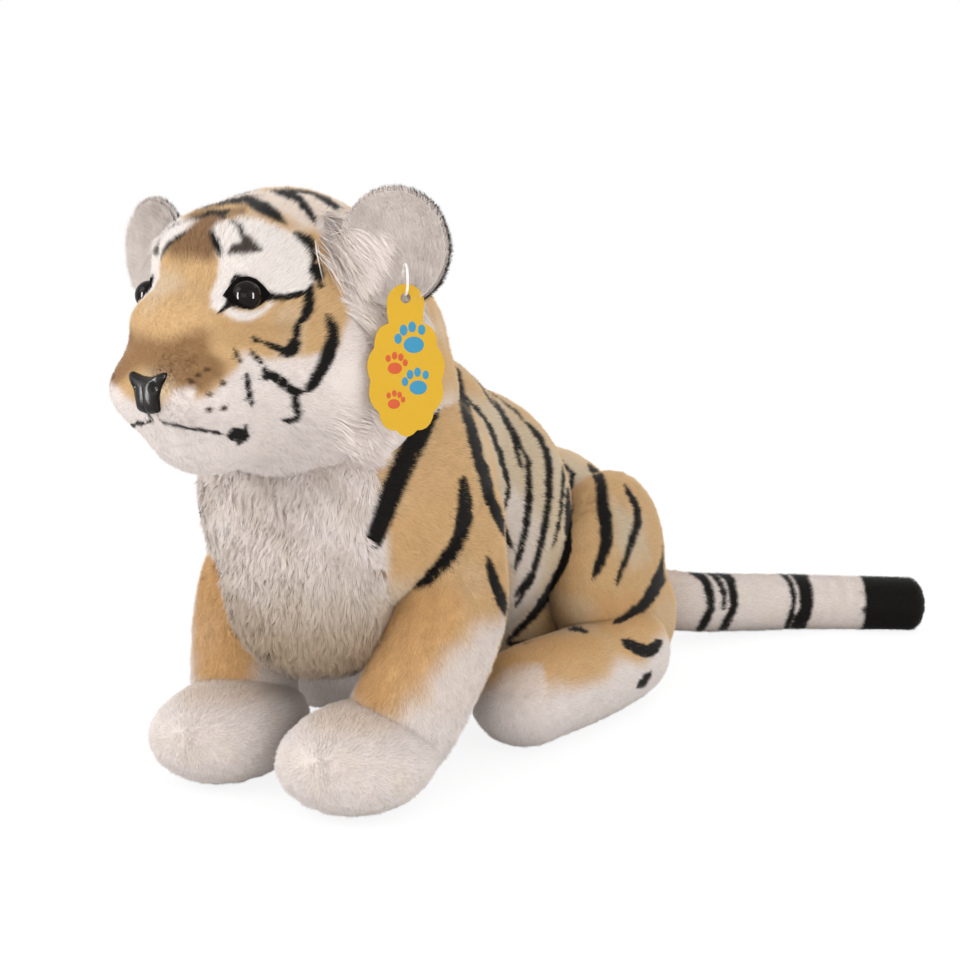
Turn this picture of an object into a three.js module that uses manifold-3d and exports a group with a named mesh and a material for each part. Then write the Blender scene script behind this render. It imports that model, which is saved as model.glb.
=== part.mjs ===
// A sitting plush tiger: sewn pelts over stuffed forms, in millimetres, +Z up.
// It faces -Y, its left side is +X, and the origin is the middle of its seat on the floor.
import * as THREE from 'three';
import { mergeVertices } from 'three/addons/utils/BufferGeometryUtils.js';
import Module from 'manifold-3d';

const wasm = await Module();
wasm.setup();

// Driving sizes of the stuffed forms
const bodyLength = 350;
const bodyWidth = 140;
const bodyHeight = 200;
const bodyBlend = 8;
const headLength = 160;
const headWidth = 124;
const headHeight = 120;
const headBlend = 9;
const foreLegThickness = 54;
const foreLegDome = 26;
const pawLength = 86;
const pawWidth = 68;
const pawHeight = 44;
const pawBlend = 4;
const haunchLength = 124;
const haunchWidth = 60;
const haunchHeight = 134;
const haunchBlend = 4;
const hindFootThickness = 54;
const hindFootDome = 24;
const tailThickness = 40;
const tailRootDome = 14;
const tailTipDome = 9;
const tailTipLength = 44;
const tailRootDiameter = 40;
const pelletBagWidth = 72;
const pelletBagHeight = 50;

// Driving sizes of the trimmings
const earWidth = 49;
const earHeight = 51;
const earThickness = 4;
const earCup = 5;
const earLiningThickness = 2;
const bibThickness = 4;
const eyeDiameter = 13;
const eyeBulge = 5;
const eyeSkirt = 1.5;
const eyeLiningLength = 20;
const eyeLiningHeight = 15;
const eyeLiningThickness = 1.2;
const noseWidth = 18;
const noseHeight = 17;
const noseBulge = 3.5;
const noseDepth = 5;
const noseRounding = 2;
const nostrilDiameter = 4;
const shankDiameter = 4;
const shankLength = 14;
const washerDiameter = 13;
const washerThickness = 1.6;
const tagWidth = 34;
const tagHeight = 65;
const tagTabWidth = 16;
const tagTabHeight = 12;
const tagThickness = 0.8;
const tagHoleDiameter = 4.4;
const tagHoleDrop = 6;
const tagScallop = 1.6;
const loopDiameter = 13;
const loopWire = 1.2;

// Cloth, seams and clearances
const peltWall = 3;
const seamGap = 0.3;
const floorCut = 0.5;
const neckOpening = 76;

// Angles: the neck seam and the set of the trimmings
const neckTilt = THREE.MathUtils.degToRad(24);
const earTurn = THREE.MathUtils.degToRad(15);
const tagTurn = THREE.MathUtils.degToRad(42);

// Facets: segments round a form and rings along it, for the skin and for the core inside it
const torsoGrade = { skin: [26, 17], core: [26, 17] };
const headGrade = { skin: [30, 22], core: [20, 15] };
const limbGrade = { skin: [16, 6], core: [10, 4] };
const tailGrade = { skin: [16, 8], core: [10, 5] };
const trimGrade = [16, 10];
const domeRings = 3;
const discRings = 4;
const discSides = 20;
const rootSides = 20;
const roundSides = 16;
const wireSides = 6;
const eyeRings = 4;
const scallops = 9;
const scallopSteps = 5;
const bisections = 22;
const pathSteps = 400;

// Where things sit on the body, as shares of its length, width and height
const headPlaceShares = [0, -0.686, 1.14];
const neckPlaceShares = [0, -0.52, 0.86];
const pawPlaceShares = [0.565, -0.646, 0];
const haunchPlaceShares = [0.886, 0.023, 0];
const pelletPlaceShares = [0, 0.03, 0.11];

// Where things sit on the head, from its middle, as shares of its width, length and height
const earPlaceShares = [0.54, 0.025, 0.233];
const eyePlaceShares = [0.218, -0.1, 0.07];
const nosePlaceShares = [0, -0.3, -0.25];
const loopPlaceShares = [0.612, -0.028, 0.125];

// Stuffed forms as blended balls: centre x, y, z and radius x, y, z, as shares of the form's sizes
const torsoBallShares = [
  [-0.164, -0.525, 0.66, 0.343, 0.177, 0.29],
  [0.164, -0.525, 0.66, 0.343, 0.177, 0.29],
  [0, -0.362, 0.691, 0.327, 0.173, 0.308],
  [0, -0.187, 0.523, 0.43, 0.148, 0.345],
  [0, 0.049, 0.334, 0.414, 0.203, 0.334],
  [0, -0.05, 0.17, 0.36, 0.17, 0.195],
];
const headBallShares = [
  [0, 0.079, -0.014, 0.421, 0.327, 0.47],
  [0, 0.4, -0.117, 0.323, 0.288, 0.35],
  [0, 0.344, -0.35, 0.42, 0.34, 0.27],
  [0, 0.175, -0.433, 0.36, 0.24, 0.22],
  [0, -0.131, -0.22, 0.22, 0.176, 0.224],
  [-0.289, -0.02, -0.21, 0.205, 0.167, 0.253],
  [0.289, -0.02, -0.21, 0.205, 0.167, 0.253],
  [-0.125, -0.343, -0.261, 0.12, 0.15, 0.112],
  [0.125, -0.343, -0.261, 0.12, 0.15, 0.112],
  [0, -0.335, -0.02, 0.186, 0.112, 0.08],
  [0, -0.305, -0.438, 0.132, 0.1, 0.102],
  [-0.118, -0.175, 0.203, 0.112, 0.125, 0.118],
  [0.118, -0.175, 0.203, 0.112, 0.125, 0.118],
];
const pawBallShares = [
  [0, 0, 0.45, 0.47, 0.46, 0.5],
  [0, -0.14, 0.4, 0.5, 0.36, 0.42],
];
const haunchBallShares = [
  [0, -0.13, 0.57, 0.467, 0.435, 0.41],
  [0, 0.1, 0.28, 0.45, 0.37, 0.28],
];
const bibPanelShares = [[0, -0.68, 0.64, 0.4, 0.15, 0.34]];
const bibLobeShares = [[0, -0.6, 0.41, 0.27, 0.085, 0.13]];
const ruffBallShares = [[0.339, 0.088, -0.192, 0.21, 0.2, 0.367]];

// Limbs as stations: x, y, z as shares of half the body's width, its length and its height,
// then half width and half depth as shares of the limb's thickness
const foreLegStationShares = [
  [0.6, -0.43, 0.75, 0.44, 0.5],
  [0.72, -0.48, 0.59, 0.48, 0.52],
  [0.87, -0.53, 0.425, 0.49, 0.5],
  [0.76, -0.577, 0.25, 0.5, 0.5],
  [0.64, -0.61, 0.11, 0.46, 0.46],
  [0.61, -0.623, 0.03, 0.4, 0.4],
];
const hindFootStationShares = [
  [1.06, 0.04, 0.135, 0.4, 0.46],
  [1.11, -0.057, 0.135, 0.48, 0.48],
  [1.07, -0.18, 0.13, 0.5, 0.47],
  [0.97, -0.3, 0.13, 0.52, 0.46],
  [0.89, -0.415, 0.12, 0.48, 0.42],
];
const tailStationShares = [
  [0, 0.262, 0.225, 0.46, 0.46],
  [0.29, 0.305, 0.19, 0.48, 0.48],
  [0.81, 0.35, 0.135, 0.49, 0.49],
  [1.73, 0.543, 0.1, 0.47, 0.47],
  [2.8, 0.667, 0.092, 0.45, 0.45],
];

// Outline of the nose, from its middle, as shares of its width and height:
// each row is a control point and an end point, from the dip in its top round its left side
const noseDipShare = 0.38;
const noseCurveShares = [
  [0.22, 0.5, 0.4, 0.44],
  [0.56, 0.34, 0.42, 0.1],
  [0.3, -0.16, 0.17, -0.4],
  [0.1, -0.5, 0, -0.5],
];
const nostrilPlaceShares = [0.24, -0.02, 0.75];
const earLiningShare = 0.86;
const eyeLiningSagShare = 0.8;

const part = new THREE.Group();

const tan = '#cfa672';
const white = '#ded7cf';
const black = '#1c1917';
const stuffing = '#f0eeea';
const plastic = '#2a2624';

// A solid as one named piece of the toy
function addPiece(name, solid, color, roughness = 0.95) {
  const finish = new THREE.MeshStandardMaterial({ color, roughness, metalness: 0 });
  const mesh = new THREE.Mesh(geometryOf(mainBody(solid)), finish);
  mesh.name = name;
  part.add(mesh);
}

function geometryFrom(points, faces) {
  const geometry = new THREE.BufferGeometry();
  geometry.setAttribute('position', new THREE.Float32BufferAttribute(points, 3));
  geometry.setIndex(faces);
  return geometry;
}

function solidOf(geometry) {
  const bare = geometry.clone();
  for (const name of Object.keys(bare.attributes)) {
    if (name !== 'position') bare.deleteAttribute(name);
  }
  const merged = mergeVertices(bare);
  return new wasm.Manifold(new wasm.Mesh({
    numProp: 3,
    vertProperties: new Float32Array(merged.attributes.position.array),
    triVerts: new Uint32Array(merged.index.array),
  }));
}

function geometryOf(solid) {
  const mesh = solid.getMesh();
  return geometryFrom(Array.from(mesh.vertProperties), Array.from(mesh.triVerts));
}

// The largest body of a cut solid, without the offcuts
function mainBody(solid) {
  const bodies = solid.decompose();
  return bodies.reduce((best, body) => (body.volume() > best.volume() ? body : best));
}

// A closed surface from rings of points between two end points
function ringSolid(firstTip, rings, lastTip) {
  const around = rings[0].length;
  const points = [...firstTip];
  for (const ring of rings) {
    for (const point of ring) points.push(...point);
  }
  points.push(...lastTip);
  const lastIndex = rings.length * around + 1;
  const at = (row, column) => 1 + row * around + (column % around);
  const faces = [];
  for (let column = 0; column < around; column += 1) {
    faces.push(0, at(0, column), at(0, column + 1));
    faces.push(lastIndex, at(rings.length - 1, column + 1), at(rings.length - 1, column));
    for (let row = 0; row < rings.length - 1; row += 1) {
      faces.push(at(row, column), at(row + 1, column), at(row + 1, column + 1));
      faces.push(at(row, column), at(row + 1, column + 1), at(row, column + 1));
    }
  }
  return geometryFrom(points, faces);
}

// Each vertex moved along its normal, outwards for a positive margin
function inflate(geometry, margin) {
  const grown = geometry.clone();
  grown.computeVertexNormals();
  const place = grown.attributes.position;
  const normal = grown.attributes.normal;
  for (let i = 0; i < place.count; i += 1) {
    place.setXYZ(
      i,
      place.getX(i) + margin * normal.getX(i),
      place.getY(i) + margin * normal.getY(i),
      place.getZ(i) + margin * normal.getZ(i),
    );
  }
  return grown;
}

// How far a point is from the blended balls: below zero inside, above zero outside
function ballField(balls, blend, x, y, z) {
  let sum = 0;
  for (const [cx, cy, cz, rx, ry, rz] of balls) {
    const [px, py, pz] = [(x - cx) / rx, (y - cy) / ry, (z - cz) / rz];
    const level = Math.hypot(px, py, pz);
    const slope = Math.hypot(px / rx, py / ry, pz / rz);
    const distance = slope > 0 ? (level * (level - 1)) / slope : -Math.min(rx, ry, rz);
    sum += Math.exp(-distance / blend);
  }
  return -blend * Math.log(sum);
}

const ballsOf = (shares, sizes, place) => shares.map((row) => row.map((share, i) =>
  share * sizes[i % 3] + (i < 3 ? place[i] : 0)));

// A form of blended balls: each ray from its middle is halved down to where it leaves the balls
function ballForm(balls, blend, around, ringCount) {
  const low = [0, 1, 2].map((i) => Math.min(...balls.map((ball) => ball[i] - ball[i + 3])));
  const high = [0, 1, 2].map((i) => Math.max(...balls.map((ball) => ball[i] + ball[i + 3])));
  const middle = low.map((value, i) => (value + high[i]) / 2);
  const reach = low.map((value, i) => (high[i] - value) / 2);
  const surface = (polar, turn) => {
    const ray = [
      reach[0] * Math.sin(polar) * Math.cos(turn),
      -reach[1] * Math.cos(polar),
      reach[2] * Math.sin(polar) * Math.sin(turn),
    ];
    let [inside, outside] = [0, 2];
    for (let i = 0; i < bisections; i += 1) {
      const half = (inside + outside) / 2;
      const [x, y, z] = middle.map((value, k) => value + half * ray[k]);
      if (ballField(balls, blend, x, y, z) < 0) inside = half;
      else outside = half;
    }
    return middle.map((value, k) => value + inside * ray[k]);
  };
  const rings = [];
  for (let row = 1; row < ringCount; row += 1) {
    const ring = [];
    for (let column = 0; column < around; column += 1) {
      ring.push(surface((Math.PI * row) / ringCount, (2 * Math.PI * column) / around));
    }
    rings.push(ring);
  }
  return ringSolid(surface(0, 0), rings, surface(Math.PI, 0));
}

function curveThrough(points) {
  const curve = new THREE.CatmullRomCurve3(points, false, 'catmullrom', 0.5);
  curve.arcLengthDivisions = pathSteps;
  return curve;
}

// A limb: round sections carried along a smooth curve, closed by a dome at its root and one at its tip
function limbForm(stations, side, [rootDome, tipDome], around, ringCount) {
  const path = curveThrough(stations.map(([x, y, z]) => new THREE.Vector3(x, y, z)));
  const radii = curveThrough(stations.map(([, , , w, d]) => new THREE.Vector3(w, d, 0)));
  const length = path.getLength();
  const stops = [];
  for (let i = 1; i <= domeRings; i += 1) {
    const angle = (Math.PI / 2) * (i / domeRings);
    stops.push([rootDome * (1 - Math.cos(angle)), Math.sin(angle)]);
  }
  for (let i = 1; i < ringCount; i += 1) {
    stops.push([rootDome + ((length - rootDome - tipDome) * i) / ringCount, 1]);
  }
  for (let i = domeRings; i >= 1; i -= 1) {
    const angle = (Math.PI / 2) * (i / domeRings);
    stops.push([length - tipDome * (1 - Math.cos(angle)), Math.sin(angle)]);
  }
  const rings = stops.map(([distance, swell]) => {
    const t = path.getUtoTmapping(distance / length);
    const centre = path.getPoint(t);
    const size = radii.getPoint(t);
    const along = path.getTangent(t);
    const depth = new THREE.Vector3().crossVectors(along, side).normalize();
    const across = new THREE.Vector3().crossVectors(depth, along).normalize();
    const ring = [];
    for (let column = 0; column < around; column += 1) {
      const turn = (2 * Math.PI * column) / around;
      const point = centre.clone()
        .addScaledVector(across, size.x * swell * Math.cos(turn))
        .addScaledVector(depth, -size.y * swell * Math.sin(turn));
      ring.push(point.toArray());
    }
    return ring;
  });
  return ringSolid(path.getPoint(0).toArray(), rings, path.getPoint(1).toArray());
}

// A form in two grades: its sewn skin, and a coarser core for what is inside the skin.
// A form that rests on the floor is let down until it dips by the flat that is cut there.
function formOf(shape, grade, onFloor) {
  const skin = shape(...grade.skin);
  const core = shape(...grade.core);
  skin.computeBoundingBox();
  const drop = onFloor ? -floorCut - skin.boundingBox.min.z : 0;
  skin.translate(0, 0, drop);
  core.translate(0, 0, drop);
  return { skin, core, drop };
}
const skinOf = (form, margin = 0) => solidOf(margin ? inflate(form.skin, margin) : form.skin);
const lumenOf = (form) => solidOf(inflate(form.core, -peltWall));
const fillingOf = (form) => solidOf(inflate(form.core, -peltWall - seamGap));
const cutBy = (solid, cutters) => cutters.reduce((rest, cutter) => rest.subtract(cutter), solid);

const bodySizes = [bodyWidth, bodyLength, bodyHeight];
const headSizes = [headWidth, headLength, headHeight];
const onBody = (shares) => shares.map((share, i) => share * bodySizes[i]);
const onSide = ([x, y, z], side) => [(side * x * bodyWidth) / 2, y * bodyLength, z * bodyHeight];
const stationsOf = (shares, thickness, side) => shares.map(([x, y, z, w, d]) =>
  [...onSide([x, y, z], side), w * thickness, d * thickness]);
const sideways = new THREE.Vector3(1, 0, 0);
const upwards = new THREE.Vector3(0, 0, 1);

// The floor, and the flat neck seam on which the head turns
const everywhere = bodyLength * 4;
const slab = () => new THREE.BoxGeometry(everywhere, everywhere, everywhere);
const floor = solidOf(slab().translate(0, 0, -everywhere / 2));
const neckPlace = onBody(neckPlaceShares);
const seamBlock = (lift) => solidOf(
  slab().translate(0, 0, lift).rotateX(neckTilt).translate(...neckPlace));
const aboveSeam = seamBlock((everywhere - seamGap) / 2);
const belowSeam = seamBlock((seamGap - everywhere) / 2);

// The pelts of body and head each have a rim at the seam, round a hole that their fillings reach
// through: what is inside the body keeps below its rim (side 1), inside the head above it (-1)
const neckHole = (margin) => solidOf(new THREE.CylinderGeometry(
  neckOpening / 2 - margin, neckOpening / 2 - margin, neckOpening, roundSides)
  .rotateX(Math.PI / 2 + neckTilt).translate(...neckPlace));
const necked = (solid, side, margin) => solid
  .subtract(seamBlock(side * (everywhere / 2 - seamGap / 2 - peltWall - margin)))
  .add(solid.intersect(neckHole(margin)));

// Torso, with a bag of pellets low in its filling so that the toy sits steadily
const torsoBalls = ballsOf(torsoBallShares, bodySizes, [0, 0, 0]);
const torsoForm = formOf((around, rings) =>
  ballForm(torsoBalls, bodyBlend, around, rings), torsoGrade, true);
const torsoSeat = skinOf(torsoForm, seamGap);

const tailStations = stationsOf(tailStationShares, tailThickness, 1);
const tailForm = formOf((around, rings) =>
  limbForm(tailStations, upwards, [tailRootDome, tailTipDome], around, rings), tailGrade, true);
const tailPivot = [tailStations[0][0], tailStations[0][1], tailStations[0][2] + tailForm.drop];
const tailRoot = (margin) => solidOf(new THREE.SphereGeometry(
  tailRootDiameter / 2 + margin, rootSides, rootSides / 2).rotateX(Math.PI / 2)
  .translate(...tailPivot));

const pelletShape = (margin) => solidOf(new THREE.SphereGeometry(1, roundSides, roundSides / 2)
  .rotateX(Math.PI / 2)
  .scale(pelletBagWidth / 2 + margin, pelletBagWidth / 2 + margin, pelletBagHeight / 2 + margin)
  .translate(...onBody(pelletPlaceShares)));
const torsoFilling = cutBy(necked(fillingOf(torsoForm), 1, seamGap),
  [aboveSeam, tailRoot(peltWall + 2 * seamGap)]);
addPiece('torso_pelt', cutBy(skinOf(torsoForm),
  [necked(lumenOf(torsoForm), 1, 0).subtract(tailRoot(peltWall + seamGap)), floor, aboveSeam,
    tailRoot(seamGap)]), tan);
addPiece('torso_filling', torsoFilling.subtract(pelletShape(seamGap)), stuffing);
addPiece('pellet_bag', pelletShape(0).intersect(torsoFilling), stuffing);

// Legs: a front leg with its paw is one pelt, a hind leg is a haunch and a foot
const legSeats = [];
for (const [name, side] of [['left', 1], ['right', -1]]) {
  const legForm = formOf((around, rings) => limbForm(
    stationsOf(foreLegStationShares, foreLegThickness, side),
    sideways, [foreLegDome, foreLegDome], around, rings), limbGrade, false);
  const pawBalls = ballsOf(pawBallShares, [pawWidth, pawLength, pawHeight],
    onSide(pawPlaceShares, side));
  const pawForm = formOf((around, rings) =>
    ballForm(pawBalls, pawBlend, around, rings), limbGrade, true);
  const both = (part) => part(legForm).add(part(pawForm));
  const legCuts = [torsoSeat, floor];
  addPiece(`front_leg_${name}`, cutBy(both(skinOf), [...legCuts, both(lumenOf)]), tan);
  addPiece(`front_leg_filling_${name}`, cutBy(both(fillingOf), legCuts), stuffing);
  legSeats.push(skinOf(legForm, seamGap));

  const haunchBalls = ballsOf(haunchBallShares, [haunchWidth, haunchLength, haunchHeight],
    onSide(haunchPlaceShares, side));
  const haunchForm = formOf((around, rings) =>
    ballForm(haunchBalls, haunchBlend, around, rings), limbGrade, true);
  addPiece(`haunch_${name}`, cutBy(skinOf(haunchForm),
    [torsoSeat, floor, lumenOf(haunchForm)]), tan);
  addPiece(`haunch_filling_${name}`, cutBy(fillingOf(haunchForm), [torsoSeat]), stuffing);

  const footForm = formOf((around, rings) => limbForm(
    stationsOf(hindFootStationShares, hindFootThickness, side),
    sideways, [hindFootDome, hindFootDome], around, rings), limbGrade, true);
  const footCuts = [torsoSeat, skinOf(haunchForm, seamGap)];
  addPiece(`hind_foot_${name}`, cutBy(skinOf(footForm),
    [...footCuts, floor, lumenOf(footForm)]), white);
  addPiece(`hind_foot_filling_${name}`, cutBy(fillingOf(footForm), footCuts), stuffing);
}

// Bib of longer pile: a panel on the breast and a lobe that hangs between the legs
const bibBlank = (shares) =>
  solidOf(ballForm(ballsOf(shares, bodySizes, [0, 0, 0]), bodyBlend, ...trimGrade));
const bibPanel = bibBlank(bibPanelShares).intersect(skinOf(torsoForm, seamGap + bibThickness));
addPiece('chest_bib', cutBy(bibPanel.add(bibBlank(bibLobeShares)),
  [torsoSeat, aboveSeam, ...legSeats]), white);

// Tail: its round root turns in a hollow of the rump, and a black tip is sewn over its end
const tailCurve = curveThrough(tailStations.map(([x, y, z]) => new THREE.Vector3(x, y, z)));
const tipSeam = 1 - tailTipLength / tailCurve.getLength();
const tipBlock = (margin) => {
  const geometry = slab().translate(everywhere / 2 + margin, 0, 0);
  const along = tailCurve.getTangentAt(tipSeam);
  geometry.applyQuaternion(new THREE.Quaternion().setFromUnitVectors(sideways, along));
  const place = tailCurve.getPointAt(tipSeam);
  return solidOf(geometry.translate(place.x, place.y, place.z + tailForm.drop));
};
const tailPelt = skinOf(tailForm).subtract(lumenOf(tailForm)).add(tailRoot(0));
addPiece('tail_pelt', cutBy(tailPelt, [floor, tipBlock(0)]), white);
addPiece('tail_tip', skinOf(tailForm).subtract(lumenOf(tailForm)).subtract(floor)
  .intersect(tipBlock(seamGap)), black);
addPiece('tail_filling', fillingOf(tailForm).subtract(tailRoot(seamGap)), stuffing);

// Head: its pelt and filling, with a bore for each shank and a pocket for each washer
const headPlace = onBody(headPlaceShares);
const onHead = ([x, y, z], side = 1) => [side * x * headWidth + headPlace[0],
  y * headLength + headPlace[1], z * headHeight + headPlace[2]];
const headBalls = ballsOf(headBallShares, headSizes, headPlace);
const headForm = formOf((around, rings) =>
  ballForm(headBalls, headBlend, around, rings), headGrade, false);
const headSeat = skinOf(headForm, seamGap);

// A frame on the head's skin: its origin where the line forward from a place inside leaves the
// balls, its z axis square to the skin there, its x axis level
function skinFrame([x, y, z]) {
  const field = (point) => ballField(headBalls, headBlend, ...point);
  let [inside, outside] = [0, headLength];
  for (let i = 0; i < bisections; i += 1) {
    const half = (inside + outside) / 2;
    if (field([x, y - half, z]) < 0) inside = half;
    else outside = half;
  }
  const place = [x, y - inside, z];
  const slope = (k) => [1, -1].reduce((sum, sign) =>
    sum + sign * field(place.map((value, i) => value + (i === k ? sign * seamGap : 0))), 0);
  const outward = new THREE.Vector3(slope(0), slope(1), slope(2)).normalize();
  const across = new THREE.Vector3().crossVectors(upwards, outward).normalize();
  const frame = new THREE.Matrix4().makeBasis(
    across, new THREE.Vector3().crossVectors(outward, across), outward);
  return frame.setPosition(...place);
}

// A round rod along a frame's z axis between two heights
const rod = (frame, diameter, low, high) => solidOf(new THREE.CylinderGeometry(
  diameter / 2, diameter / 2, high - low, roundSides)
  .rotateX(Math.PI / 2).translate(0, 0, (low + high) / 2).applyMatrix4(frame));

// A washer holds each shank behind the pelt, which is level there to seat it
const washerDepth = peltWall + seamGap;
const shank = (frame, top) => rod(frame, shankDiameter, -shankLength, top);
const shankBore = (frame) => rod(frame, shankDiameter + 2 * seamGap, -2 * shankLength, shankLength);
const washer = (frame) => rod(frame, washerDiameter, -washerDepth - washerThickness, -washerDepth)
  .subtract(shankBore(frame));
const washerSeat = (frame) =>
  rod(frame, washerDiameter + 2 * seamGap, -shankLength - seamGap, -peltWall);
const washerPocket = (frame) => rod(frame, washerDiameter + 2 * seamGap,
  -washerDepth - washerThickness - seamGap, shankLength)
  .add(rod(frame, shankDiameter + 2 * seamGap, -shankLength - seamGap, 0));

// Nose: a rounded block with nostril dents, moulded with its shank
const noseFrame = skinFrame(onHead(nosePlaceShares));
function noseSolid() {
  const outline = new THREE.Shape();
  outline.moveTo(0, noseDipShare * noseHeight);
  for (const [cx, cy, x, y] of noseCurveShares) {
    outline.quadraticCurveTo(cx * noseWidth, cy * noseHeight, x * noseWidth, y * noseHeight);
  }
  const back = noseCurveShares.map(([cx, cy], i) => {
    const [, , x, y] = i > 0 ? noseCurveShares[i - 1] : [0, 0, 0, noseDipShare];
    return [cx, cy, x, y];
  }).reverse();
  for (const [cx, cy, x, y] of back) {
    outline.quadraticCurveTo(-cx * noseWidth, cy * noseHeight, -x * noseWidth, y * noseHeight);
  }
  const block = new THREE.ExtrudeGeometry(outline, {
    depth: noseDepth, curveSegments: 3, bevelEnabled: true, bevelSegments: 2,
    bevelSize: noseRounding, bevelThickness: noseRounding, bevelOffset: -noseRounding,
  });
  block.translate(0, 0, noseBulge - noseDepth - noseRounding);
  const nostril = (side) => solidOf(new THREE.SphereGeometry(
    nostrilDiameter / 2, wireSides, wireSides)
    .translate(side * nostrilPlaceShares[0] * noseWidth, nostrilPlaceShares[1] * noseHeight,
      nostrilPlaceShares[2] * noseBulge + nostrilDiameter / 2)
    .applyMatrix4(noseFrame));
  return cutBy(solidOf(block.applyMatrix4(noseFrame)), [nostril(1), nostril(-1), headSeat]);
}
addPiece('nose', noseSolid().add(shank(noseFrame, noseBulge / 2)), black, 0.35);
addPiece('nose_washer', washer(noseFrame), plastic, 0.6);

// Eyes: each a moulded dome with its shank, over a black lining that follows the skin
const headBores = [shankBore(noseFrame), washerSeat(noseFrame)];
const headPockets = [washerPocket(noseFrame)];
for (const [name, side] of [['left', 1], ['right', -1]]) {
  const frame = skinFrame(onHead(eyePlaceShares, side));
  const almond = new THREE.Shape();
  almond.moveTo(-eyeLiningLength / 2, 0);
  almond.quadraticCurveTo(0, -eyeLiningHeight * eyeLiningSagShare, eyeLiningLength / 2, 0);
  almond.quadraticCurveTo(0, eyeLiningHeight, -eyeLiningLength / 2, 0);
  const blank = new THREE.ExtrudeGeometry(almond, {
    depth: 2 * eyeBulge, curveSegments: 7, bevelEnabled: false });
  const lining = solidOf(blank.translate(0, 0, -eyeBulge).applyMatrix4(frame))
    .intersect(skinOf(headForm, seamGap + eyeLiningThickness));
  addPiece(`eye_lining_${name}`, cutBy(lining, [headSeat, shankBore(frame)]), black);

  const profile = [new THREE.Vector2(0, -eyeSkirt)];
  for (let i = 0; i <= eyeRings; i += 1) {
    const angle = (Math.PI / 2) * (i / eyeRings);
    profile.push(new THREE.Vector2(
      (eyeDiameter / 2) * Math.cos(angle), -eyeSkirt + (eyeBulge + eyeSkirt) * Math.sin(angle)));
  }
  const dome = new THREE.LatheGeometry(profile, roundSides).rotateX(Math.PI / 2)
    .translate(0, 0, eyeLiningThickness).applyMatrix4(frame);
  const seat = skinOf(headForm, 2 * seamGap + eyeLiningThickness);
  addPiece(`eye_${name}`, solidOf(dome).subtract(seat).add(shank(frame, eyeBulge / 2)), black, 0.12);
  addPiece(`eye_washer_${name}`, washer(frame), plastic, 0.6);
  headBores.push(shankBore(frame), washerSeat(frame));
  headPockets.push(washerPocket(frame));
}
addPiece('head_pelt', cutBy(skinOf(headForm),
  [necked(lumenOf(headForm), -1, 0), belowSeam, ...headBores]), tan);
addPiece('head_filling', cutBy(necked(fillingOf(headForm), -1, seamGap),
  [belowSeam, ...headPockets]), stuffing);

// Cheek ruffs of long pile, and ears of a back and a lining
const loopFrame = new THREE.Matrix4().makeBasis(
  new THREE.Vector3(Math.sin(tagTurn), -Math.cos(tagTurn), 0), upwards,
  new THREE.Vector3(-Math.cos(tagTurn), -Math.sin(tagTurn), 0));
loopFrame.setPosition(...onHead(loopPlaceShares));
const loopSolid = (margin) => solidOf(new THREE.TorusGeometry(
  loopDiameter / 2, loopWire / 2 + margin, wireSides, roundSides).applyMatrix4(loopFrame));

// A cupped disc with a round rim, facing along z
function cupDisc(width, height, cup, thickness, lift) {
  const stop = (i, face) => {
    const angle = (Math.PI / 2) * (i / discRings);
    const reach = Math.sin(angle);
    const ring = [];
    for (let column = 0; column < discSides; column += 1) {
      const turn = (2 * Math.PI * column) / discSides;
      ring.push([
        (width / 2) * reach * Math.cos(turn),
        -(height / 2) * reach * Math.sin(turn),
        lift + cup * reach ** 2 + (face * thickness / 2) * Math.sqrt(Math.max(0, Math.cos(angle))),
      ]);
    }
    return ring;
  };
  const rings = [];
  for (let i = 1; i <= discRings; i += 1) rings.push(stop(i, -1));
  for (let i = discRings - 1; i >= 1; i -= 1) rings.push(stop(i, 1));
  return ringSolid([0, 0, lift - thickness / 2], rings, [0, 0, lift + thickness / 2]);
}

for (const [name, side] of [['left', 1], ['right', -1]]) {
  const ruffBalls = ballsOf(ruffBallShares.map(([x, ...rest]) => [side * x, ...rest]),
    headSizes, headPlace);
  const ruffGeometry = ballForm(ruffBalls, headBlend, ...trimGrade);
  const ruffCuts = [headSeat, belowSeam];
  addPiece(`ruff_${name}`, cutBy(solidOf(ruffGeometry), ruffCuts), white);

  const frame = new THREE.Matrix4().makeBasis(
    new THREE.Vector3(Math.cos(earTurn), side * Math.sin(earTurn), 0), upwards,
    new THREE.Vector3(side * Math.sin(earTurn), -Math.cos(earTurn), 0));
  frame.setPosition(...onHead(earPlaceShares, side));
  const earCuts = [headSeat, solidOf(inflate(ruffGeometry, seamGap))];
  if (side > 0) earCuts.push(loopSolid(seamGap));
  const disc = (...sizes) => solidOf(cupDisc(...sizes).applyMatrix4(frame));
  addPiece(`ear_back_${name}`, cutBy(
    disc(earWidth, earHeight, earCup, earThickness, 0), earCuts), black);
  addPiece(`ear_lining_${name}`, cutBy(disc(
    earWidth * earLiningShare, earHeight * earLiningShare, earCup * earLiningShare ** 2,
    earLiningThickness, (earThickness + earLiningThickness) / 2 + seamGap), earCuts), white);
}

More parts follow.
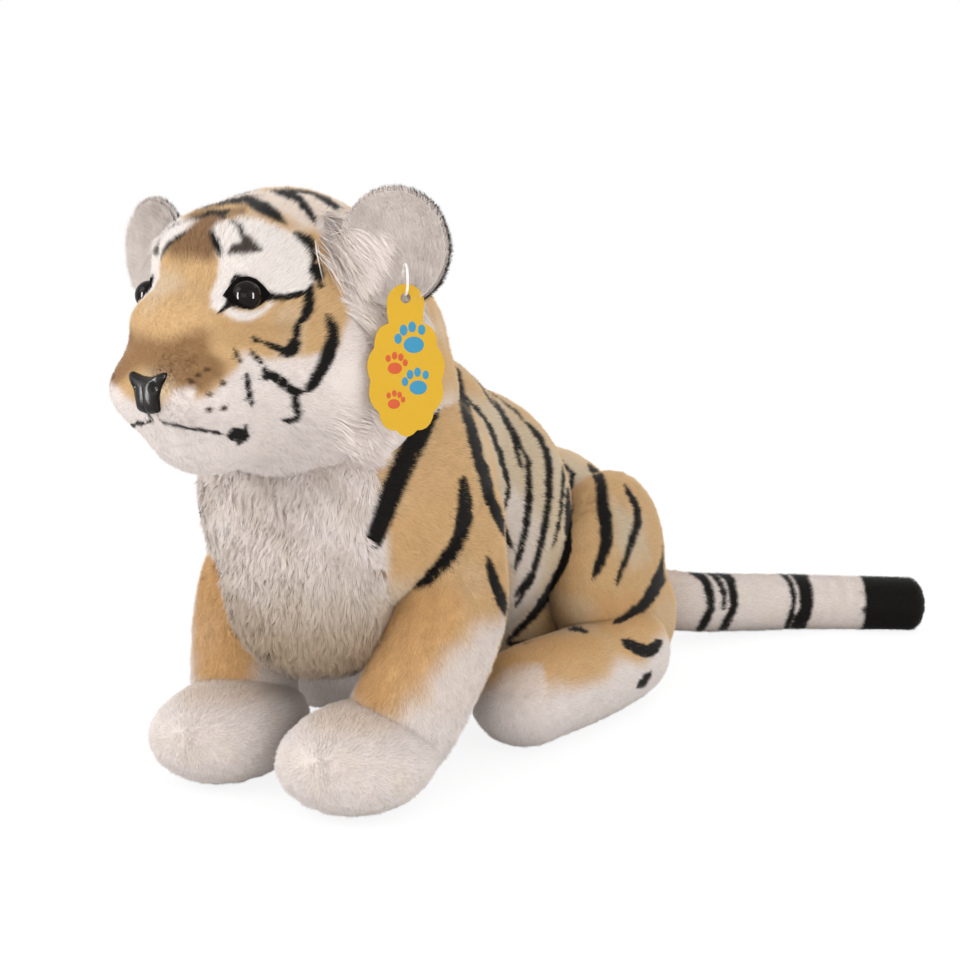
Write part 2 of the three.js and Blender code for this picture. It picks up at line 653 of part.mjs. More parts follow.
// Hang tag: a scalloped card that hangs by its hole from a plastic loop through the ear's base
function tagOutline() {
  const outline = new THREE.Shape();
  const panelTop = tagHoleDrop - tagTabHeight;
  const panelHeight = tagHeight - tagTabHeight;
  const middle = panelTop - panelHeight / 2;
  const start = Math.asin(tagTabWidth / tagWidth);
  outline.moveTo(-tagTabWidth / 2, panelTop);
  const steps = scallops * scallopSteps;
  for (let i = 0; i <= steps; i += 1) {
    const turn = start + ((2 * Math.PI - 2 * start) * i) / steps;
    const wave = Math.abs(Math.sin((Math.PI * i) / scallopSteps)) - 1;
    outline.lineTo(
      -(tagWidth / 2 + tagScallop * wave) * Math.sin(turn),
      middle + (panelHeight / 2 + tagScallop * wave) * Math.cos(turn));
  }
  outline.lineTo(tagTabWidth / 2, tagHoleDrop - tagTabWidth / 2);
  outline.absarc(0, tagHoleDrop - tagTabWidth / 2, tagTabWidth / 2, 0, Math.PI);
  const hole = new THREE.Path();
  hole.absarc(0, 0, tagHoleDiameter / 2, 0, 2 * Math.PI);
  outline.holes.push(hole);
  return outline;
}
const wirePlace = [...onHead(loopPlaceShares)];
wirePlace[2] -= loopDiameter / 2;
const tagFrame = new THREE.Matrix4().makeBasis(
  new THREE.Vector3(Math.cos(tagTurn), Math.sin(tagTurn), 0), upwards,
  new THREE.Vector3(Math.sin(tagTurn), -Math.cos(tagTurn), 0));
tagFrame.setPosition(wirePlace[0], wirePlace[1],
  wirePlace[2] - (tagHoleDiameter - loopWire) / 2 + seamGap);
const card = new THREE.ExtrudeGeometry(tagOutline(), {
  depth: tagThickness, curveSegments: 8, bevelEnabled: false });
addPiece('hang_tag', solidOf(card.translate(0, 0, -tagThickness / 2).applyMatrix4(tagFrame)),
  '#d9ac00', 0.5);
addPiece('tag_loop', loopSolid(0), white, 0.4);

export default part;
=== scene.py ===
# %% [markdown]
# # A sitting plush tiger
# The real toy is sewn from pile cloth and stuffed: a tan back with black stripes, white cheeks,
# bib and paws, a ringed tail, moulded eyes and nose, and a card tag on a plastic loop. The CAD
# solids give every form its place. What they can't give is the pile, so each cloth skin is worked
# out again on a finer grid from the same measures, and then planted with more than a million
# small blades. Textures alone would look painted, because pile breaks up the outline of the toy.

import bpy
import numpy as np
from mathutils import Matrix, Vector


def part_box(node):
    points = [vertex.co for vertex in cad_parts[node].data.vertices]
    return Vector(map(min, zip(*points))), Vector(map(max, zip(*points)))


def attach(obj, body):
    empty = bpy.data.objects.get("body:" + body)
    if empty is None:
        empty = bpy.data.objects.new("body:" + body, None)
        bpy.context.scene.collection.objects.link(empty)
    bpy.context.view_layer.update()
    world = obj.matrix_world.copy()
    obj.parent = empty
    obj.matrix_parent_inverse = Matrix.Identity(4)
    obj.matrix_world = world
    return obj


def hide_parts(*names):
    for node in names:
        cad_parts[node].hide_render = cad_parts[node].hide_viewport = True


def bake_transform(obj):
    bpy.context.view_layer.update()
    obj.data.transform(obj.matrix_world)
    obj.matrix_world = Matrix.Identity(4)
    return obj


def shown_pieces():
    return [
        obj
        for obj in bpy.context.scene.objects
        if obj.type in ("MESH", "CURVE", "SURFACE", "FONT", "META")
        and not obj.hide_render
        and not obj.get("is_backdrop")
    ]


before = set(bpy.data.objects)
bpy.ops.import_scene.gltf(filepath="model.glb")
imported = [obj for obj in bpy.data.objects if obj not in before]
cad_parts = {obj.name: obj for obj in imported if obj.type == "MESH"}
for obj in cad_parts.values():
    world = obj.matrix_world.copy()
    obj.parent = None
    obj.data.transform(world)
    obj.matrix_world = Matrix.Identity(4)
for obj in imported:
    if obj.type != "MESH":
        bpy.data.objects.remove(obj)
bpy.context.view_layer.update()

# %% [markdown]
# ## The camera
# The photograph was taken from a little above the tiger's face, 30 degrees round to its left.
# The camera is placed by that angle and a distance. The same numbers also turn a pixel of the
# photograph into a line through space, which is how the stripes are laid on the cloth later.

# %% Camera and pixel rays
TARGET = np.array([64.9, -163.0, 146.4])
TURN, RISE = np.radians(30.2), np.radians(8.2)
DISTANCE, MM_PER_PIXEL, FRAME_PIXELS = 650.0, 0.49, 960
MM = 0.001

back = np.array([np.sin(TURN) * np.cos(RISE), -np.cos(TURN) * np.cos(RISE), np.sin(RISE)])
right = np.array([np.cos(TURN), np.sin(TURN), 0.0])
up = np.cross(back, right)
eye_point = TARGET + back * DISTANCE
focal_pixels = DISTANCE / MM_PER_PIXEL

camera_data = bpy.data.cameras.new("camera")
camera_data.sensor_width = 36.0
camera_data.lens = 36.0 * focal_pixels / FRAME_PIXELS
camera_data.clip_start = 0.01
camera = bpy.data.objects.new("camera", camera_data)
bpy.context.scene.collection.objects.link(camera)


def placed(across, high, away, place):
    """The matrix of a camera or lamp at a place in mm that looks the other way from away."""
    return Matrix([[*row, place[i] * MM] for i, row in enumerate(np.c_[across, high, away])] + [[0, 0, 0, 1]])


def pixel_rays(pixels):
    """The direction through each pixel: straight ahead, plus its offset over the focal length."""
    offset = (np.asarray(pixels, float) - FRAME_PIXELS / 2) / focal_pixels
    return -back + offset[:, :1] * right - offset[:, 1:] * up


camera.matrix_world = placed(right, up, back, eye_point)
bpy.context.scene.camera = camera
print("lens", round(camera_data.lens, 2), "mm")

# %% [markdown]
# ## Stuffed forms
# Stuffing makes round shapes that melt into each other. Each form is a sum of soft balls: the
# distance to every ball is blended, and the skin is where the blend is zero. A limb is a round
# section carried along a smooth curve. Sculpting would look as good, but formulas stay tied to
# the measures of the solids.

# %% Measures of the forms
BODY = np.array([140.0, 350.0, 200.0])
HEAD = np.array([124.0, 160.0, 120.0])
HEAD_PLACE = np.array([0, -0.686, 1.14]) * BODY
FLOOR_DIP = 0.5
HALF_WIDTH = BODY[0] / 2

# Each row is a soft ball: its middle and its reach, as shares of the body or the head.
torso_balls = np.array([
    [-0.164, -0.525, 0.66, 0.343, 0.177, 0.29], [0.164, -0.525, 0.66, 0.343, 0.177, 0.29],
    [0, -0.362, 0.691, 0.327, 0.173, 0.308], [0, -0.187, 0.523, 0.43, 0.148, 0.345],
    [0, 0.049, 0.334, 0.414, 0.203, 0.334], [0, -0.05, 0.17, 0.36, 0.17, 0.195],
]) * np.r_[BODY, BODY]
head_balls = np.array([
    [0, 0.079, -0.014, 0.421, 0.327, 0.47], [0, 0.4, -0.117, 0.323, 0.288, 0.35],
    [0, 0.344, -0.35, 0.42, 0.34, 0.27], [0, 0.175, -0.433, 0.36, 0.24, 0.22],
    [0, -0.131, -0.22, 0.22, 0.176, 0.224], [-0.289, -0.02, -0.21, 0.205, 0.167, 0.253],
    [0.289, -0.02, -0.21, 0.205, 0.167, 0.253], [-0.125, -0.343, -0.261, 0.12, 0.15, 0.112],
    [0.125, -0.343, -0.261, 0.12, 0.15, 0.112], [0, -0.335, -0.02, 0.186, 0.112, 0.08],
    [0, -0.305, -0.438, 0.132, 0.1, 0.102], [-0.118, -0.175, 0.203, 0.112, 0.125, 0.118],
    [0.118, -0.175, 0.203, 0.112, 0.125, 0.118],
]) * np.r_[HEAD, HEAD] + np.r_[HEAD_PLACE, 0, 0, 0]


print("soft balls:", len(torso_balls), "in the torso,", len(head_balls), "in the head")


# %% Fields and grids
def ball_field(balls, blend, points):
    """Below zero inside: -blend times the log of the sum of exp(-distance / blend) over the balls."""
    out = np.empty(len(points))
    for start in range(0, len(points), 60000):
        part = points[start : start + 60000, None, :] - balls[None, :, :3]
        level = np.linalg.norm(part / balls[None, :, 3:], axis=2)
        slope = np.linalg.norm(part / balls[None, :, 3:] ** 2, axis=2)
        distance = level * (level - 1) / np.maximum(slope, 1e-9)
        out[start : start + 60000] = -blend * np.log(np.exp(-distance / blend).sum(axis=1))
    return out


def ball_form(balls, blend, around, rings):
    """A grid of points: every ray from the middle is halved down to where the field is zero."""
    low = (balls[:, :3] - balls[:, 3:]).min(axis=0)
    high = (balls[:, :3] + balls[:, 3:]).max(axis=0)
    middle, reach = (low + high) / 2, (high - low) / 2
    polar = np.linspace(0, np.pi, rings + 1)[:, None]
    turn = np.linspace(0, 2 * np.pi, around, endpoint=False)[None, :]
    ray = np.stack(
        [reach[0] * np.sin(polar) * np.cos(turn), -reach[1] * np.cos(polar) + 0 * turn,
         reach[2] * np.sin(polar) * np.sin(turn)], axis=-1)
    ray = ray.reshape(-1, 3)
    inside, outside = np.zeros(len(ray)), np.full(len(ray), 2.0)
    for _ in range(20):
        half = (inside + outside) / 2
        within = ball_field(balls, blend, middle + half[:, None] * ray) < 0
        inside, outside = np.where(within, half, inside), np.where(within, outside, half)
    return (middle + inside[:, None] * ray).reshape(rings + 1, around, 3)


def smooth_path(points, t):
    """A Catmull-Rom curve: each stretch is a cubic whose end slopes run between its neighbours."""
    points = np.asarray(points, float)
    points = np.vstack([2 * points[0] - points[1], points, 2 * points[-1] - points[-2]])
    place = np.clip(t, 0, 1) * (len(points) - 3)
    i = np.minimum(place.astype(int), len(points) - 4)
    f = (place - i)[:, None]
    a, b, c, d = points[i], points[i + 1], points[i + 2], points[i + 3]
    m, n = (c - a) / 2, (d - b) / 2
    return (2 * b - 2 * c + m + n) * f**3 + (3 * c - 3 * b - 2 * m - n) * f**2 + m * f + b


def limb_run(stations):
    """A limb's curve in 800 short steps: the share at each, and the length run up to it."""
    share = np.linspace(0, 1, 801)
    path = smooth_path(stations[:, :3], share)
    return share, np.r_[0, np.cumsum(np.linalg.norm(np.diff(path, axis=0), axis=1))]


def limb_form(stations, side, domes, around, rings):
    """Round sections square to a curve through the stations, with a quarter of an oval at each end."""
    dense, run = limb_run(stations)
    bow = np.linspace(0, np.pi / 2, 9)
    at = np.r_[domes[0] * (1 - np.cos(bow)), np.linspace(domes[0], run[-1] - domes[1], rings)[1:-1],
               run[-1] - domes[1] * (1 - np.cos(bow[::-1]))]
    swell = np.r_[np.sin(bow), np.ones(rings - 2), np.sin(bow[::-1])]
    t = np.interp(at, run, dense)
    centre, size = smooth_path(stations[:, :3], t), smooth_path(stations[:, 3:], t)
    along = smooth_path(stations[:, :3], t + 1e-3) - smooth_path(stations[:, :3], t - 1e-3)
    depth = np.cross(along, side)
    depth /= np.linalg.norm(depth, axis=1)[:, None]
    across = np.cross(depth, along)
    across /= np.linalg.norm(across, axis=1)[:, None]
    turn = np.linspace(0, 2 * np.pi, around, endpoint=False)[None, :, None]
    reach = size * swell[:, None]
    return (centre[:, None] + across[:, None] * reach[:, None, :1] * np.cos(turn)
            - depth[:, None] * reach[:, None, 1:] * np.sin(turn))


def limb_field(stations, domes, points):
    """Distance to the nearest of 60 rounds along the limb between its domes, less that round's radius."""
    dense, run = limb_run(stations)
    t = np.interp(np.linspace(domes[0], run[-1] - domes[1], 60), run, dense)
    centre, size = smooth_path(stations[:, :3], t), smooth_path(stations[:, 3:], t).mean(axis=1)
    out = np.empty(len(points))
    for start in range(0, len(points), 60000):
        part = points[start : start + 60000, None, :] - centre[None]
        out[start : start + 60000] = (np.linalg.norm(part, axis=2) - size).min(axis=1)
    return out


def limb_stations(shares, thickness, side):
    """Stations as shares of half the body's width, its length and height, then of the thickness."""
    rows = np.array(shares, float)
    rows[:, :3] *= [side * HALF_WIDTH, BODY[1], BODY[2]]
    rows[:, 3:] *= thickness
    return rows


def rest_on_floor(grid):
    """Lowers a form until it dips just under the floor, and says by how much."""
    return -FLOOR_DIP - grid[..., 2].min()


print("middle of a bow:", smooth_path([[0, 0, 0], [1, 1, 0], [2, 0, 0]], np.array([0.5])))

# %% The skins
forms = {}


def add_form(name, grid, field, on_floor=True):
    """Keeps a form's grid and its field, let down together to the floor and cut flat there."""
    drop = rest_on_floor(grid) if on_floor else 0.0
    grid = grid + [0, 0, drop]
    grid[..., 2] = np.maximum(grid[..., 2], 0)
    box = grid.reshape(-1, 3).min(axis=0) - 1, grid.reshape(-1, 3).max(axis=0) + 1
    forms[name] = {"grid": grid, "box": box, "drop": drop,
                   "field": lambda points: field(points - [0, 0, drop])}


FORE_LEG = [[0.6, -0.43, 0.75, 0.44, 0.5], [0.72, -0.48, 0.59, 0.48, 0.52],
            [0.87, -0.53, 0.425, 0.49, 0.5], [0.76, -0.577, 0.25, 0.5, 0.5],
            [0.64, -0.61, 0.11, 0.46, 0.46], [0.61, -0.623, 0.03, 0.4, 0.4]]
HIND_FOOT = [[1.06, 0.04, 0.135, 0.4, 0.46], [1.11, -0.057, 0.135, 0.48, 0.48],
             [1.07, -0.18, 0.13, 0.5, 0.47], [0.97, -0.3, 0.13, 0.52, 0.46],
             [0.89, -0.415, 0.12, 0.48, 0.42]]
TAIL = [[-0.2, 0.16, 0.25, 0.2, 0.2], [0, 0.262, 0.225, 0.46, 0.46], [0.29, 0.305, 0.19, 0.48, 0.48],
        [0.81, 0.35, 0.135, 0.49, 0.49], [1.73, 0.543, 0.1, 0.47, 0.47],
        [2.8, 0.667, 0.092, 0.45, 0.45]]
PAW_BALLS = np.array([[0, 0, 0.45, 0.47, 0.46, 0.5], [0, -0.14, 0.4, 0.5, 0.36, 0.42]])
HAUNCH_BALLS = np.array([[0, -0.13, 0.57, 0.467, 0.435, 0.41], [0, 0.1, 0.28, 0.45, 0.37, 0.28]])
PAW, HAUNCH = np.array([68.0, 86.0, 44.0]), np.array([60.0, 124.0, 134.0])
PAW_PLACE, HAUNCH_PLACE = (0.565, -0.646), (0.886, 0.023)
LEG_THICK, TAIL_THICK = 54, 40
LEG_DOMES, FOOT_DOMES, TAIL_DOMES = (26, 26), (24, 24), (6, 9)
TORSO_BLEND, HEAD_BLEND, LIMB_BLEND = 8, 9, 4

TAG_TOUCH, TAG_TOUCH_REACH, TAG_TOUCH_DEPTH = np.array([57.5, -260.0, 201.4]), 13, 2.6


def tag_press(points):
    """Where the card tag swings against the cheek: 1 at that place, and less round it by a bell curve."""
    return np.exp(-((np.linalg.norm(points - TAG_TOUCH, axis=-1) / TAG_TOUCH_REACH) ** 2))[..., None]


def add_balls(name, balls, blend, around, rings, on_floor=True):
    """Keeps a form of soft balls."""
    add_form(name, ball_form(balls, blend, around, rings), lambda p: ball_field(balls, blend, p), on_floor)


def add_limb(name, stations, side, domes, around, rings, on_floor=True):
    """Keeps a form carried along a curve."""
    add_form(name, limb_form(stations, side, domes, around, rings),
             lambda p: limb_field(stations, domes, p), on_floor)


add_balls("torso", torso_balls, TORSO_BLEND, 110, 90)
head_grid = ball_form(head_balls, HEAD_BLEND, 130, 110)
inward = (TAG_TOUCH - HEAD_PLACE) / np.linalg.norm(TAG_TOUCH - HEAD_PLACE)
head_grid -= TAG_TOUCH_DEPTH * tag_press(head_grid) * inward
add_form("head", head_grid, lambda p: ball_field(head_balls, HEAD_BLEND, p), False)
for name, side in (("left", 1), ("right", -1)):
    add_limb(f"leg_{name}", limb_stations(FORE_LEG, LEG_THICK, side), [1, 0, 0], LEG_DOMES, 56, 34, False)
    paw = np.r_[side * PAW_PLACE[0] * HALF_WIDTH, PAW_PLACE[1] * BODY[1], 0, 0, 0, 0]
    add_balls(f"paw_{name}", PAW_BALLS * np.r_[PAW, PAW] + paw, LIMB_BLEND, 56, 40)
    haunch = np.r_[side * HAUNCH_PLACE[0] * HALF_WIDTH, HAUNCH_PLACE[1] * BODY[1], 0, 0, 0, 0]
    add_balls(f"haunch_{name}", HAUNCH_BALLS * np.r_[HAUNCH, HAUNCH] + haunch, LIMB_BLEND, 64, 48)
    add_limb(f"foot_{name}", limb_stations(HIND_FOOT, LEG_THICK, side), [1, 0, 0], FOOT_DOMES, 48, 30)
tail = limb_stations(TAIL, TAIL_THICK, 1)
add_limb("tail", tail, [0, 0, 1], TAIL_DOMES, 40, 76)

# %% [markdown]
# ## Trimmings of long pile
# The ruff behind the cheeks and the bib on the breast are cloth of much longer pile. Each is one
# more soft form that stands a little out of the form that carries it.

# %% Ruffs, bib and ears
panel_balls = np.array([[0, -0.68, 0.64, 0.4, 0.15, 0.34]]) * np.r_[BODY, BODY]
bib_balls = np.array([[0, -0.6, 0.41, 0.27, 0.085, 0.13], [0, -0.607, 0.57, 0.32, 0.1, 0.22]])
bib_balls *= np.r_[BODY, BODY]
for name, side in (("left", 1), ("right", -1)):
    ruff = np.array([[side * 0.339, 0.088, -0.192, 0.21, 0.2, 0.367]]) * np.r_[HEAD, HEAD]
    add_balls(f"ruff_{name}", ruff + np.r_[HEAD_PLACE, 0, 0, 0], HEAD_BLEND, 48, 36, False)
add_balls("bib_fold", bib_balls, 10, 56, 44, False)
EAR_TURN, EAR_PLACE = np.radians(15), np.array([0.54, 0.025, 0.233])


def ear_frame(side):
    """Columns: across the ear, up, the way its inside faces, and its middle."""
    across = np.array([np.cos(EAR_TURN), side * np.sin(EAR_TURN), 0])
    facing = np.array([side * np.sin(EAR_TURN), -np.cos(EAR_TURN), 0])
    return across, np.array([0, 0, 1.0]), facing, HEAD_PLACE + EAR_PLACE * [side, 1, 1] * HEAD


def cup_disc(side, width, height, cup, thickness, lift):
    """A cupped disc: depth grows with the square of the reach, and its rim is rounded over."""
    across, high, facing, middle = ear_frame(side)
    polar = np.linspace(0, np.pi, 33)[:, None]
    turn = np.linspace(0, 2 * np.pi, 56, endpoint=False)[None, :]
    reach = np.sin(polar)
    face = -np.sign(np.cos(polar)) * np.sqrt(np.abs(np.cos(polar)))
    x, y = width / 2 * reach * np.cos(turn), -height / 2 * reach * np.sin(turn)
    z = lift + cup * reach**2 + face * thickness / 2 + 0 * turn
    return middle + x[..., None] * across + y[..., None] * high + z[..., None] * facing


for name, side in (("left", 1), ("right", -1)):
    add_form(f"ear_back_{name}", cup_disc(side, 49, 51, 5, 4, 0), None, False)
    add_form(f"ear_lining_{name}", cup_disc(side, 46.6, 48.4, 4.4, 2, 3.0), None, False)
print("forms with trimmings:", len(forms))

# %% [markdown]
# ## The stripes
# Airbrushed stripes follow the body round. Each is drawn here as a line over the photograph, in
# pixels, with its width, and a patch as its outline. Rays from the camera find which form a mark
# lies on. A place on the cloth is coloured where it shows within the mark, seen from the camera's
# first position, and the far side gets the same marks mirrored, as on the real pattern.

# %% Lines over the photograph
# Each row is a stripe: its width and the points it runs through, in pixels of the photograph.
BODY_STRIPES = [
    (23, [(448, 352), (434, 396), (417, 437), (395, 483), (380, 524), (370, 550)]),
    (17, [(462, 477), (463, 500), (461, 529), (450, 553), (433, 573), (416, 589)]),
    (12, [(456, 372), (460, 395), (466, 419), (472, 441), (480, 469), (487, 495), (493, 509), (502, 529),
          (511, 547)]),
    (6, [(464, 397), (484, 421), (495, 447), (503, 471), (507, 489), (503, 511)]),
    (7, [(484, 394), (500, 413), (508, 429), (515, 447), (521, 472)]),
    (8, [(526, 457), (528, 485), (527, 511), (522, 541), (514, 572)]),
    (8, [(525, 424), (538, 439), (546, 457), (548, 485), (546, 511), (540, 543), (530, 579), (515, 605)]),
    (4, [(561, 462), (561, 490), (558, 520), (550, 552)]),
    (10, [(572, 474), (568, 495), (568, 523), (566, 555), (554, 579), (538, 607), (522, 625), (505, 642)]),
    (13, [(588, 466), (600, 481), (602, 505), (606, 535), (602, 556), (593, 577)]),
    (8, [(624, 486), (635, 508), (636, 524), (628, 549), (616, 584)]),
    (13, [(665, 540), (664, 562), (655, 584), (641, 605), (614, 624)]),
    (12, [(621, 641), (645, 652), (660, 641)]),
    (8, [(636, 688), (650, 671)]),
    (5, [(560, 629), (574, 630), (588, 633)]),
    (6, [(504, 643), (532, 642)]),
    (10, [(487, 558), (493, 581), (500, 601), (506, 618)]),
    (7, [(256, 582), (273, 595), (288, 614)]),
    (4, [(195, 467), (197, 512), (206, 530)]),
]
HEAD_STRIPES = [
    (9, [(272, 194), (294, 199), (305, 210), (315, 225)]),
    (5, [(267, 190), (284, 185), (301, 190), (318, 197), (343, 212)]),
    (5, [(284, 192), (306, 194), (321, 201), (339, 213)]),
    (6, [(222, 203), (236, 204), (243, 207)]),
    (5, [(204, 216), (216, 215), (229, 221)]),
    (4, [(231, 222), (240, 228), (243, 235)]),
    (7, [(210, 231), (216, 241), (222, 258)]),
    (10, [(293, 234), (306, 241), (313, 252), (315, 263)]),
    (14, [(312, 262), (316, 272), (319, 284)]),
    (8, [(316, 284), (324, 287)]),
    (7, [(266, 296), (284, 298), (309, 291)]),
    (11, [(311, 286), (309, 301), (305, 316), (297, 323)]),
    (9, [(298, 318), (297, 332), (296, 340)]),
    (14, [(297, 336), (292, 350), (281, 353)]),
    (7, [(262, 342), (277, 348), (290, 351)]),
    (6, [(252, 337), (260, 343)]),
    (14, [(328, 316), (333, 335), (328, 354), (318, 376), (305, 392)]),
    (6, [(250, 349), (257, 359), (263, 365)]),
    (10, [(262, 368), (270, 374), (284, 384), (295, 392), (306, 391)]),
    (8, [(266, 372), (267, 381)]),
    (9, [(294, 389), (296, 405), (299, 416)]),
    (7, [(300, 413), (293, 420), (282, 419)]),
    (5, [(234, 349), (241, 363)]),
    (7, [(246, 374), (249, 392), (251, 407)]),
    (3, [(158, 412), (161, 421), (173, 425), (190, 428), (207, 431), (226, 434)]),
    (15, [(228, 434), (238, 434), (248, 435)]),
    (10, [(237, 445), (246, 424)]),
    (4, [(218, 313), (228, 306), (236, 302)]),
]
BROWN_MARKS = [(14, [(377, 570), (381, 580)])]
TAIL_STRIPES = [
    (9, [(689, 569), (702, 578), (709, 592), (710, 608), (705, 620), (700, 630)]),
    (6, [(704, 570), (717, 580), (723, 592), (724, 607)]),
    (9, [(717, 569), (729, 580), (733, 595), (732, 610), (722, 629)]),
    (6, [(779, 570), (789, 582), (793, 595), (792, 610), (786, 627)]),
    (15, [(795, 570), (803, 583), (806, 597), (804, 612), (797, 627)]),
]
WHISKER_DOTS = [(207, 370), (223, 383), (209, 393), (198, 376), (209, 410), (224, 408), (191, 381)]
RUFF_LINE = (30, [(350, 272), (358, 310), (360, 360), (352, 400), (340, 432)])
TUFT_LINE = (21, [(326, 222), (335, 246), (343, 268), (350, 290)])


def unit(vectors):
    """Each vector made 1 long."""
    return vectors / np.maximum(np.linalg.norm(vectors, axis=1), 1e-9)[:, None]


def pixels_along(points, gap=2.0):
    """A smooth line through the points, with a point about every two pixels."""
    steps = max(3, int(np.linalg.norm(np.diff(points, axis=0), axis=1).sum() / gap))
    return smooth_path(points, np.linspace(0, 1, steps))


def pixels_of(points):
    """Where points show in the picture: offsets right and down, over their depth, by the focal length."""
    away = points - eye_point
    return np.c_[away @ right, -(away @ up)] / -(away @ back)[:, None] * focal_pixels + FRAME_PIXELS / 2


def fields_at(points, names):
    """The field of each named form at each point, worked out only within the form's own box."""
    values = np.full((len(names), len(points)), 9.0)
    for row, name in zip(values, names):
        low, high = forms[name]["box"]
        near = ((points > low) & (points < high)).all(axis=1)
        row[near] = forms[name]["field"](points[near])
    return values


def land_on(pixels, names):
    """Where each pixel's ray first enters one of the named forms, and which form that is.

    Steps of 3 mm find the first place inside, and halving finds the skin. Rays that miss are left out."""
    rays = pixel_rays(pixels)
    steps = np.arange(DISTANCE - 260, DISTANCE + 330, 3.0)
    values = fields_at((eye_point + steps[None, :, None] * rays[:, None]).reshape(-1, 3), names).min(axis=0)
    inside = values.reshape(len(rays), -1) < 0
    found = inside.any(axis=1)
    rays, high = rays[found], steps[np.argmax(inside[found], axis=1)]
    low = high - 3.0
    for _ in range(9):
        half = (low + high) / 2
        within = fields_at(eye_point + half[:, None] * rays, names).min(axis=0) < 0
        low, high = np.where(within, low, half), np.where(within, half, high)
    places = eye_point + high[:, None] * rays
    return places, np.array(names)[fields_at(places, names).argmin(axis=0)]


BODY_NAMES = ["torso"] + [f"{form}_{side}" for form in ("leg", "paw", "haunch", "foot")
                          for side in ("left", "right")]


def forms_under(pixels, names):
    """The forms that at least an eighth of the pixels land on."""
    hit = land_on(pixels, names)[1]
    return {name for name in names if (hit == name).sum() * 8 >= len(hit) > 0}


def lay_stripe(width, pixels, names, blunt=0.25):
    """A stripe: its line, half its width at each point, narrowing towards both ends, and its forms."""
    line = pixels_along(pixels, 5.0)
    share = np.linspace(0, 1, len(line))
    half = width / 2 * (blunt + (1 - blunt) * np.sqrt(np.clip(4 * share * (1 - share), 0, 1)))
    return line, half, forms_under(line, names)


def lay_patch(outline, names):
    """An outline, with no width of its own, and the forms that it lies on."""
    outline = np.array(outline, float)
    middle = outline.mean(axis=0)
    return outline, None, forms_under(np.vstack([middle + (outline - middle) * k for k in (0.4, 0.8)]), names)


body_stripes = [lay_stripe(*row, BODY_NAMES) for row in BODY_STRIPES]
head_stripes = [lay_stripe(*row, ["head"]) for row in HEAD_STRIPES]
brown_marks = [lay_stripe(*row, BODY_NAMES) for row in BROWN_MARKS]
bridges = []
for line, half, under in body_stripes[2:9]:
    ends, hit = land_on(line[:1], BODY_NAMES)
    if len(hit) and hit[0] == "torso" and ends[0, 0] > 0:
        bridges.append((ends[0, 0], ends[0, 1], half.max() * MM_PER_PIXEL))
print("bridges over the back:", [tuple(np.round(row, 1)) for row in bridges])
ruff_line = [lay_stripe(*RUFF_LINE, ["head"], 0.6)]
tuft_line = [lay_stripe(*TUFT_LINE, ["head"], 0.6)]
tail_stripes = [lay_stripe(*row, ["tail"], 0.9) for row in TAIL_STRIPES]
print("stripes:", len(body_stripes), "on the body,", len(head_stripes), "on the head")

# %% [markdown]
# ## Colour of the pile
# The cloth is tan, airbrushed to white on the cheeks, brows, bib and paws, and to brown on the
# muzzle. Outlines with soft edges, laid on the form in the same way as the stripes, make these
# areas. The colour is worked out for every blade and kept with it, so it stays with the cloth.


# %% Colours
def ink(code):
    """A colour as written, such as #d3ae7c, as the linear numbers that Blender keeps."""
    value = np.array([int(code[i : i + 2], 16) for i in (1, 3, 5)]) / 255
    return np.where(value <= 0.04045, value / 12.92, ((value + 0.055) / 1.055) ** 2.4)


TAN, GOLD, WHITE, CREAM = ink("#dcb684"), ink("#dba76a"), ink("#f0e5df"), ink("#ece0cc")
BROWN, BLACK, GREY, SAND = ink("#9a744e"), ink("#16120f"), ink("#cabfb7"), ink("#b9a48c")


def drift(points, size, seed):
    """Slow wandering between about -1 and 1: eight sine waves of random direction, size mm long."""
    rng = np.random.default_rng(seed)
    total = np.zeros(len(points))
    for _ in range(8):
        way = rng.normal(size=3)
        way *= 2 * np.pi / size * rng.uniform(0.6, 1.5) / np.linalg.norm(way)
        total += np.sin(points @ way + rng.uniform(0, 2 * np.pi))
    return total / 3


def fade(value, low, high):
    """0 below low, 1 above high, and a smooth step between."""
    t = np.clip((value - low) / (high - low), 0, 1)
    return t * t * (3 - 2 * t)


print("tan", TAN.round(3), "white", WHITE.round(3), "black", BLACK.round(3))

# %% Areas over the photograph
TOAST, HONEY, ASH = ink("#8f6b4a"), ink("#cfa877"), ink("#d9ccb4")
SOOT, SNOW = ink("#33241b"), ink("#fbf2ec")
